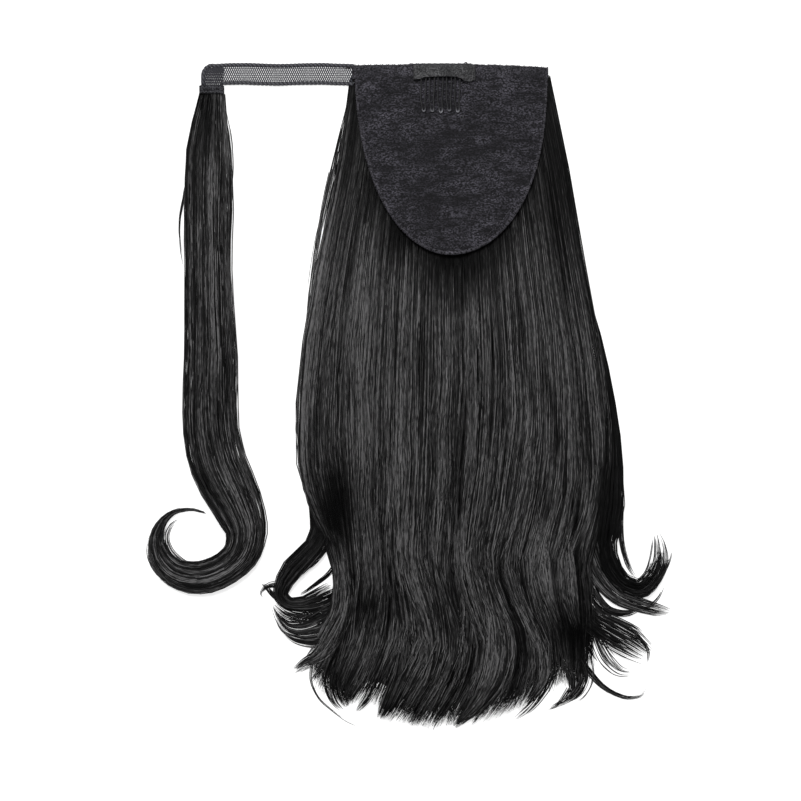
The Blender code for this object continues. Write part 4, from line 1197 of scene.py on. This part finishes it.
def closedSheet(name, columns, rows, place, thickness, finish):
    top, low = [], []
    for i in range(rows + 1):
        for j in range(columns + 1):
            point = Vector(place(j / columns * 2 - 1, i / rows))
            edge = min(i, rows - i, j, columns - j)
            top.append(point)
            low.append(point - Vector((0, 0, thickness * (0.55 if edge == 0 else 1))))
    wide = columns + 1
    half = len(top)
    faces = []
    for i in range(rows):
        for j in range(columns):
            a, b, c, d = i * wide + j, (i + 1) * wide + j, (i + 1) * wide + j + 1, i * wide + j + 1
            faces.append((a, b, c, d))
            faces.append((half + d, half + c, half + b, half + a))
    rim = list(range(columns)) + [i * wide + columns for i in range(rows)]
    rim += [rows * wide + j for j in range(columns, 0, -1)] + [i * wide for i in range(rows, 0, -1)]
    for a, b in zip(rim, rim[1:] + rim[:1]):
        faces.append((a, b, half + b, half + a))
    return meshFrom(name, top + low, faces, finish)


def makeCap():
    inset, radius = cap["inset"], cap["bindingRadius"]
    start = cap["bandHeight"] - cap["underBand"]
    last = (cap["depth"] - inset) * cap["clothEnd"] - start

    def place(across, down):
        below = start + last * (1 - (1 - down) ** 1.5)
        x, y = capHalfWidth(below, inset, across) * across, capTop - below
        return x, y, capHeight(capTree, x, y, inset) - cap["clothSink"] + creaseAt(x, y)

    finish = clothFinish("crinkledFabric", capPaintedShade)
    cloth = closedSheet("capCloth", cap["columns"], cap["rows"], place, cap["clothThickness"], finish)
    steps, depth = cap["hemSteps"], cap["depth"] - radius
    first = math.asin(cap["bandHeight"] * cap["hemStart"] / depth)

    def hemPoint(i, reach, inset, tree, drop, wide):
        below = reach * math.sin(first + (math.pi - 2 * first) * i / steps)
        side = -1 if i < steps / 2 else 1
        x, y = capHalfWidth(below, inset, side) * side, capTop - below
        return x, y, capHeight(tree, x, y, inset, wide) - drop

    line = evened([hemPoint(i, depth, radius, bindingTree, radius, 0.0003) for i in range(steps + 1)], 2)
    wobble = [1 + cap["hemWobble"] * noise.noise(Vector((i / 3, 0, 4))) for i in range(steps + 1)]
    hem = tubeMesh("capHem", line, radius * np.array(wobble), 12, clothFinish("rolledHem"))
    overlock = windThread("hemOverlock", line, hemThread, *cap["overlock"])
    reach = depth - cap["seamIn"]
    seam = [hemPoint(i, reach, cap["seamInset"], capTree, 0.0003, 0.0012) for i in range(*cap["seamSteps"])]
    stitched = windThread("hemSeam", seam, hemThread, *cap["seam"])
    overlock = joinPieces("hemOverlock", [overlock, stitched])
    finishPiece(cloth, ("cap_panel",))
    finishPiece(hem, ("cap_edge_binding",))
    finishPiece(overlock)
    return cloth, hem, overlock


# The folded band along the cap's top edge, which droops beside the comb's tape and at its right end
bandShape = {
    "section": 18,
    "corners": (0.35, 0.6),  # powers that square the section, across and upwards
    "thickness": 0.0009,
    "edgeIn": 0.0004,
    "picotIn": 0.0006,
    "stations": 190,
    "picots": (0.0019, 0.00105, 0.0002, 0.5, 9),
    "picotPoints": 90,
    "beside": (0.0190, 0.0006),  # from here on beside the tape, and by how much
    "right": (0.012, 0.050, 0.0014),
}


def bandDroop(x):
    start, drop = bandShape["beside"]
    beside = min(1, max(0, abs(x - comb["middle"]) - start) * 600)
    first, length, most = bandShape["right"]
    return drop * beside + most * between((x - first) / length) ** 1.5


def makeBand():
    halfLength, high = cap["width"] / 2 + cap["overhang"], cap["bandHeight"]
    section, stations = bandShape["section"], bandShape["stations"]
    points = []
    for i in range(stations + 1):
        x = halfLength * (2 * i / stations - 1)
        squeeze = min(1, 0.55 + 0.16 * min(i, stations - i))
        for j in range(section):
            turn = 2 * math.pi * j / section
            across, upper = boxy(math.cos(turn), bandShape["corners"][0]), boxy(math.sin(turn), bandShape["corners"][1])
            y = capTop - high / 2 + across * high / 2 * (0.96 + 0.04 * squeeze)
            y += 0.00025 * noise.noise(Vector((x * 160, across, 2))) - bandDroop(x) * max(across, 0)
            top = surfaceAt(bandTree, x, between(y, capTop - high + bandShape["edgeIn"], capTop - bandShape["edgeIn"]))
            z = top - bandShape["thickness"] + bandShape["thickness"] * upper * squeeze
            if upper > 0:
                z += creaseAt(x * 1.2, y) * 0.8
            points.append((x, y, z))
    band = loft("capBand", points, section, clothFinish("foldedFabric"), True)
    edge = []
    for i in range(bandShape["picotPoints"]):
        x = halfLength * (2 * i / (bandShape["picotPoints"] - 1) - 1) * 0.985
        y = capTop - bandShape["picotIn"]
        edge.append((x, y - bandDroop(x), surfaceAt(bandTree, x, y) - 0.0008))
    picots = windThread("bandOverlock", edge, hemThread, *bandShape["picots"])
    finishPiece(band, ("cap_top_band",))
    finishPiece(picots)
    return band, picots


# The wire comb under its tape
comb = {
    "teeth": 5,
    "pitch": 0.0054,
    "middle": -0.0064,
    "toothWidth": 0.0030,
    "toothLength": 0.0272,
    "wireRadius": 0.00045,
    "spineRadius": 0.0009,
    "sway": 0.0022,
    "sunk": 0.0004,  # how far the spine lies under the comb's highest point
    "lowest": 0.0085,
    "uneven": 0.0006,
    "legs": ((0.0, 1.0, 0.0), (0.3, 1.02, 0.06), (0.55, 0.98, -0.04), (0.72, 0.86, -0.14), (0.84, 0.72, 0.02),
             (0.93, 0.66, 0.12)),  # down, spread, sway
    "coat": ((0.004, 0.004, 0.0045, 1), (0.23, 0.23, 0.25, 1)),  # darkest, and its painted highlight
    "tipHighlightLength": 0.0032,
}
spineY = cap["bandHeight"] * 0.05


def makeWireFinish():
    finish, graph, shader = newFinish("blackWire", 0.4, 0.12, Metallic=0.0)
    place = graph.node("ShaderNodeTexCoord", outlet="Object")
    fromTip = place.axis(1) + comb["toothLength"] - spineY
    # painted highlight: bright towards each tooth's tip, faint along the rest of the wire
    toneWithPaintedLight = (1 - fromTip / comb["tipHighlightLength"]).clamped()
    shine = (toneWithPaintedLight * toneWithPaintedLight * 1.3 + 0.11) * graph.noise(place, 900.0, 2.0)
    graph.mix(shine, *comb["coat"]).feed(shader, "Base Color")
    return finish


def arch(x, y, wide, high, steps):
    angles = [math.pi * k / steps for k in range(1, steps)]
    return [(x - wide * math.cos(angle), y + high * math.sin(angle)) for angle in angles]


def makeComb():
    finish = makeWireFinish()
    wire, wide = comb["wireRadius"], comb["toothWidth"]
    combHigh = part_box("comb")[1][2] - comb["spineRadius"] - comb["sunk"]
    combTree = treeOf("comb")
    down, spreads, sways = np.array(comb["legs"]).T
    at = np.linspace(0, 0.93, 16)
    spread = smoothRow(down, spreads, at) * wide / 2
    sway = smoothRow(down, sways, at) * comb["sway"]
    points = []
    for i in range(comb["teeth"]):
        middle = comb["middle"] + (i - (comb["teeth"] - 1) / 2) * comb["pitch"]
        tip = spineY - comb["toothLength"] + comb["uneven"] * math.sin(i * 2.3 + 0.5)
        ys = spineY + (tip - spineY) * at
        left = [(middle - s + w, y) for s, w, y in zip(spread, sway, ys)]
        right = [(middle + s + w, y) for s, w, y in zip(spread, sway, ys)]
        radius, centre = (right[-1][0] - left[-1][0]) / 2, (right[-1][0] + left[-1][0]) / 2
        points += left + arch(centre, ys[-1], radius, -abs(tip - ys[-1]), 8) + right[::-1]
        if i < comb["teeth"] - 1:
            half = (comb["pitch"] - wide) / 2
            points += arch(middle + wide / 2 + half, spineY, half, half, 6)
    line = []
    for x, y in points:
        height = surfaceAt(combTree, x, y, 0.0002) - wire
        line.append((x, y, between(height, comb["lowest"], combHigh + 0.0002)))
    bend = tubeMesh("combBend", evened(line, 8), wire, 8, finish)
    length = comb["pitch"] * (comb["teeth"] - 1) + wide + 4 * wire
    first, last = comb["middle"] - length / 2, comb["middle"] + length / 2
    rod = [(first + (last - first) * i / 6, spineY, combHigh) for i in range(7)]
    spine = tubeMesh("combSpine", rod, comb["spineRadius"], 12, finish)
    finishPiece(joinPieces("combWire", [bend, spine]), ("comb",))


tape = {
    "thickness": 0.0009,
    "lowerEdge": ((413, 78.6), (419, 79.2), (424, 77.2), (440, 76.2), (456, 76.6), (461, 78.0), (464, 80.6),
                  (470, 81.0), (473, 79.8)),
    "columns": 84,
    "rows": 18,
    "stitches": (0.0018, 0.0011, 0.00018, 0.5, 14),
    "loopAt": (466, 63.5),  # a stray loop of thread and a thread's end, in pixels
    "tailAt": (462, 117),
}


def makeTape():
    (lowX, _, lowZ), (highX, highY, highZ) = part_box("comb_cover")
    edge = np.array([fromPhoto(x, y, highZ) for x, y in tape["lowerEdge"]])

    def place(across, down):
        x = lowX + (highX - lowX) * (across + 1) / 2
        lower = float(np.interp(x, edge[:, 0], edge[:, 1]))
        y = highY + (lower - highY) * down
        y += 0.00018 * noise.noise(Vector((x * 420, down, 1)))
        side = min(1, (1 - abs(across)) * 9)
        head = min(1, down * 5)
        rounded = math.sqrt(1 - (1 - side) ** 2) * math.sqrt(1 - (1 - head) ** 2)
        lump = 0.0002 * math.cos((x - comb["middle"]) / comb["pitch"] * 2 * math.pi) * down
        fold = 0.00022 * noise.noise(Vector((x * 210, y * 260, 6)))
        away = abs(x - comb["middle"])
        overRod = math.exp(-(((y - spineY) / 0.0013) ** 2))
        lump += 0.0008 * overRod * min(1, max(0, (0.0150 - away) * 500))
        rounded *= 1 - 0.85 * min(1, max(0, away - 0.0145) * 500) * down**2
        return x, y, lowZ + tape["thickness"] + (highZ - lowZ - tape["thickness"]) * rounded + lump + fold

    cover = closedSheet("combTape", tape["columns"], tape["rows"], place, tape["thickness"], clothFinish("wovenTape"))
    thread = threadFinish("tapeThread")
    rim = [(lowX + 0.0008 + (highX - lowX - 0.0016) * k / 49, highY - 0.0005, lowZ + 0.0012) for k in range(50)]
    stitches = windThread("tapeRimStitches", rim, thread, *tape["stitches"])
    loopX, loopY = fromPhoto(*tape["loopAt"], highZ)
    ends = []
    for k in range(15):
        angle = math.pi * (-0.2 + 1.4 * k / 14)
        ends.append((loopX - 0.0009 * math.cos(angle), loopY + 0.0013 * math.sin(angle), lowZ + 0.0012))
    stray = tubeMesh("tapeLoop", ends, 0.00028, 6, thread)
    tailX, tailY = fromPhoto(*tape["tailAt"], highZ)
    base = surfaceAt(capTree, tailX, tailY)
    curl = []
    for k in range(18):
        angle = 2 * math.pi * 1.15 * k / 17
        radius = 0.0012 * (1 - 0.25 * k / 17)
        curl.append((tailX + radius * math.cos(angle), tailY + 0.8 * radius * math.sin(angle), base + 0.0003))
    tail = tubeMesh("threadTail", curl, 0.0002, 6, thread)
    seam = joinPieces("tapeStitches", [stitches, stray, tail])
    finishPiece(cover, ("comb_cover",))
    finishPiece(seam)
    return cover, seam


# The wrap strap: a net between two corded edges
strap = {
    "length": 0.0960,
    "width": 0.0140,
    "drop": -0.0015,
    "edgeRadius": 0.00125,
    "cornerRadius": 0.0065,
    "threadPitch": 0.00132,
    "threadRadius": 0.00029,
    "beadPitch": 0.0026,  # from one scallop of the cords to the next
    "lean": 0.0052,  # how far a thread moves along the strap on its way across
    "doubled": 0.0150,  # the end that is folded back
    "floorGap": 0.0002,
    "seed": 8,
    "knotAt": (348, 68.5),  # in pixels
}


def makeCords(right, left, high, low, z):
    radius, corner = strap["edgeRadius"], strap["cornerRadius"]
    cordFinish, wrapFinish = threadFinish("cordedEdge"), threadFinish("edgeThread")

    def sway(x):
        return 0.00028 * math.sin(x * 130) + 0.0002 * noise.noise(Vector((x * 90, 0, 2)))

    turnX = left + radius + corner
    upper = [(x, high + sway(x), z) for x in np.linspace(right + 0.0016, turnX, 170)]
    for k in range(1, 19):
        angle = math.pi / 2 * k / 18
        upper.append((turnX - corner * math.sin(angle), high - corner * (1 - math.cos(angle)), z))
    upper.append((left + radius, strap["drop"] - strap["width"] / 2 - 0.0006, z))
    lower = [(x, low + sway(x + 0.05), z) for x in np.linspace(right + 0.0016, left + 0.0135, 160)]
    pieces = []
    cords = ("strapUpperEdge", upper, "strap_upper_edge"), ("strapLowerEdge", lower, "strap_lower_edge")
    for name, line, node in cords:
        steps = np.hypot(*np.diff(np.array(line)[:, :2], axis=0).T)
        at = np.concatenate([[0], np.cumsum(steps)])
        beads = abs(np.sin(at * math.pi / strap["beadPitch"])) ** 0.6
        cord = tubeMesh(name + "Cord", line, radius * (0.78 + 0.30 * beads), 8, cordFinish)
        wraps = windThread(name + "Wraps", line, wrapFinish, 0.0013, radius * 0.94, 0.0002, 0.7, 3)
        pieces.append(finishPiece(joinPieces(name, [cord, wraps]), (node,)))
    return pieces


def makeNet(right, left, high, low, z):
    lean, pitch, corner = strap["lean"], strap["threadPitch"], strap["cornerRadius"]
    turnX = left + strap["edgeRadius"] + corner
    netFinish, darkFinish = threadFinish("netThread"), threadFinish("doubledNetThread")
    pick = random.Random(strap["seed"])
    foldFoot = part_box("strand_weft")[1][1] - 0.0006
    edge, fold = left + 0.0016, left + strap["doubled"]
    spans = (  # first and last x, foot, offset, finish
        (edge, right + 0.001, low, 0.0, netFinish),
        (edge, fold, foldFoot, 0.45, darkFinish),
        (edge, fold - 0.001, foldFoot, 0.75, darkFinish),
    )

    def inside(x, y, first, last):
        beyond = max(turnX - x, 0), max(y - high + corner, 0)
        return first <= x <= last and (0 in beyond or math.hypot(*beyond) <= corner)

    made = []
    for first, last, foot, offset, finish in spans:
        for way in (-1, 1):
            for k in range(int((last - first + lean) / pitch) + 1):
                x0 = first + (offset + k) * pitch - lean
                line = []
                for step in range(9):
                    share = step / 8
                    moved = share if way > 0 else 1 - share
                    x = x0 + lean * moved + pick.uniform(-1, 1) * 0.00008
                    lift = z + 0.00022 * way * (1 if step % 2 else -1) + offset * 0.0006
                    line.append((x, foot + (high - foot) * share, lift))
                kept = [p for p in line if inside(p[0], p[1], first, last)]
                if len(kept) > 2:
                    made.append(tubeMesh("thread", kept, strap["threadRadius"], 4, finish))
    return finishPiece(joinPieces("strapNet", made), ("strap_net",))


def makeKnot(z):
    knotX, knotY = fromPhoto(*strap["knotAt"])
    line = []
    for k in range(14):
        turn = k * 1.9
        x = knotX + 0.0016 * math.cos(turn) * (1 - k / 40)
        line.append((x, knotY + 0.0007 * math.sin(turn * 1.3), z + 0.0007 + k * 0.00006))
    return finishPiece(tubeMesh("strapKnot", line, 0.0003, 6, threadFinish("knotThread")))


def makeStrap():
    right = -(cap["width"] / 2 + cap["overhang"]) - 0.0004
    high = strap["drop"] + strap["width"] / 2 - strap["edgeRadius"]
    low = strap["drop"] - strap["width"] / 2 + strap["edgeRadius"]
    ends = right, right - strap["length"], high, low, strap["floorGap"] + strap["edgeRadius"]
    return makeCords(*ends), makeNet(*ends), makeKnot(ends[-1])


weft = {
    "gathers": 11,
    "gatherDepth": 0.00042,
    "columns": 90,
    "rings": 26,
    "ragged": 0.16,
    "stitchRows": (0.2, 0.75),
    "stitches": (0.0011, 0.0007, 0.00016, 0.7),
}


def makeWeft():
    (lowX, lowY, lowZ), (highX, highY, highZ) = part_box("strand_weft")
    points = []
    for i in range(weft["columns"] + 1):
        share = i / weft["columns"]
        x = lowX + (highX - lowX) * share
        squeeze = min(1, 0.6 + 8 * min(share, 1 - share))
        turned = share * weft["gathers"] * 2 * math.pi + noise.noise(Vector((share * 9, 0, 0))) * 3
        ripple = weft["gatherDepth"] * math.sin(turned)
        for j in range(weft["rings"]):
            turn = 2 * math.pi * j / weft["rings"]
            across, upper = boxy(math.cos(turn), 0.6), boxy(math.sin(turn), 0.6)
            ragged = 1 + weft["ragged"] * noise.noise(Vector((share * 7, across, 4)))
            y = (lowY + highY) / 2 + (highY - lowY) / 2 * across * (0.94 + 0.06 * squeeze) * ragged
            swell = ((highZ - lowZ) / 2 * squeeze + ripple) * upper * (0.92 + 0.08 * math.cos(across * 6))
            points.append((x, y, max((lowZ + highZ) / 2 + swell, 0.0002)))
    pieces = [loft("weftBody", points, weft["rings"], clothFinish("gatheredWeft"), True)]
    thread = threadFinish("weftThread")
    for number, place in enumerate(weft["stitchRows"]):
        y = lowY + (highY - lowY) * place
        line = [(lowX + 0.0006 + (highX - lowX - 0.0012) * k / 40, y, highZ - 0.0004) for k in range(41)]
        pieces.append(windThread("weftStitches", line, thread, *weft["stitches"], 30 + number))
    finishPiece(joinPieces("strandWeft", pieces), ("strand_weft",))


def declareCloth(netPieces):
    area = sum(2 * capHalfWidth(cap["bandHeight"] + 0.001 * i) * 0.001 for i in range(112))
    area = (strap["length"] + strap["doubled"]) * strap["width"]


def makeStudio():
    data = bpy.data.meshes.new("floor")
    size = studio["floorSize"]
    data.from_pydata([(-size, -size, 0), (size, -size, 0), (size, size, 0), (-size, size, 0)], [], [(0, 1, 2, 3)])
    floor = addObject("floor", data)
    glow = {"Emission Color": (1, 1, 1, 1), "Emission Strength": studio["floorGlow"]}
    data.materials.append(newFinish("paleFloor", 0.9, 0.1, **{"Base Color": studio["floorColour"], **glow})[0])
    world = bpy.data.worlds.new("studio")
    bpy.context.scene.world = world
    world.use_nodes = True
    back = world.node_tree.nodes["Background"]
    back.inputs["Color"].default_value = studio["worldColour"]
    back.inputs["Strength"].default_value = studio["worldStrength"]
    for name, (power, size, place) in studio["lamps"].items():
        lamp = bpy.data.lights.new(name, "AREA")
        lamp.energy, lamp.size = power, size
        made = addObject(name, lamp)
        made.location = place
        aim = Vector((view["lookX"], view["lookY"], 0)) - made.location
        made.rotation_euler = aim.to_track_quat("-Z", "Y").to_euler()
    bpy.context.scene.view_settings.view_transform = "Standard"


makeCamera()
print("camera is set")
makeCore()
makeFall()
makeLocks()
makeWrapStrand()
print("hair is grown")
cloth, hem, overlock = makeCap()
band, picots = makeBand()
makeComb()
cover, tapeSeam = makeTape()
print("cap and comb are made")
strapEdges, net, knot = makeStrap()
makeWeft()
print("strap is made")
declareCloth(strapEdges + [knot])
makeStudio()
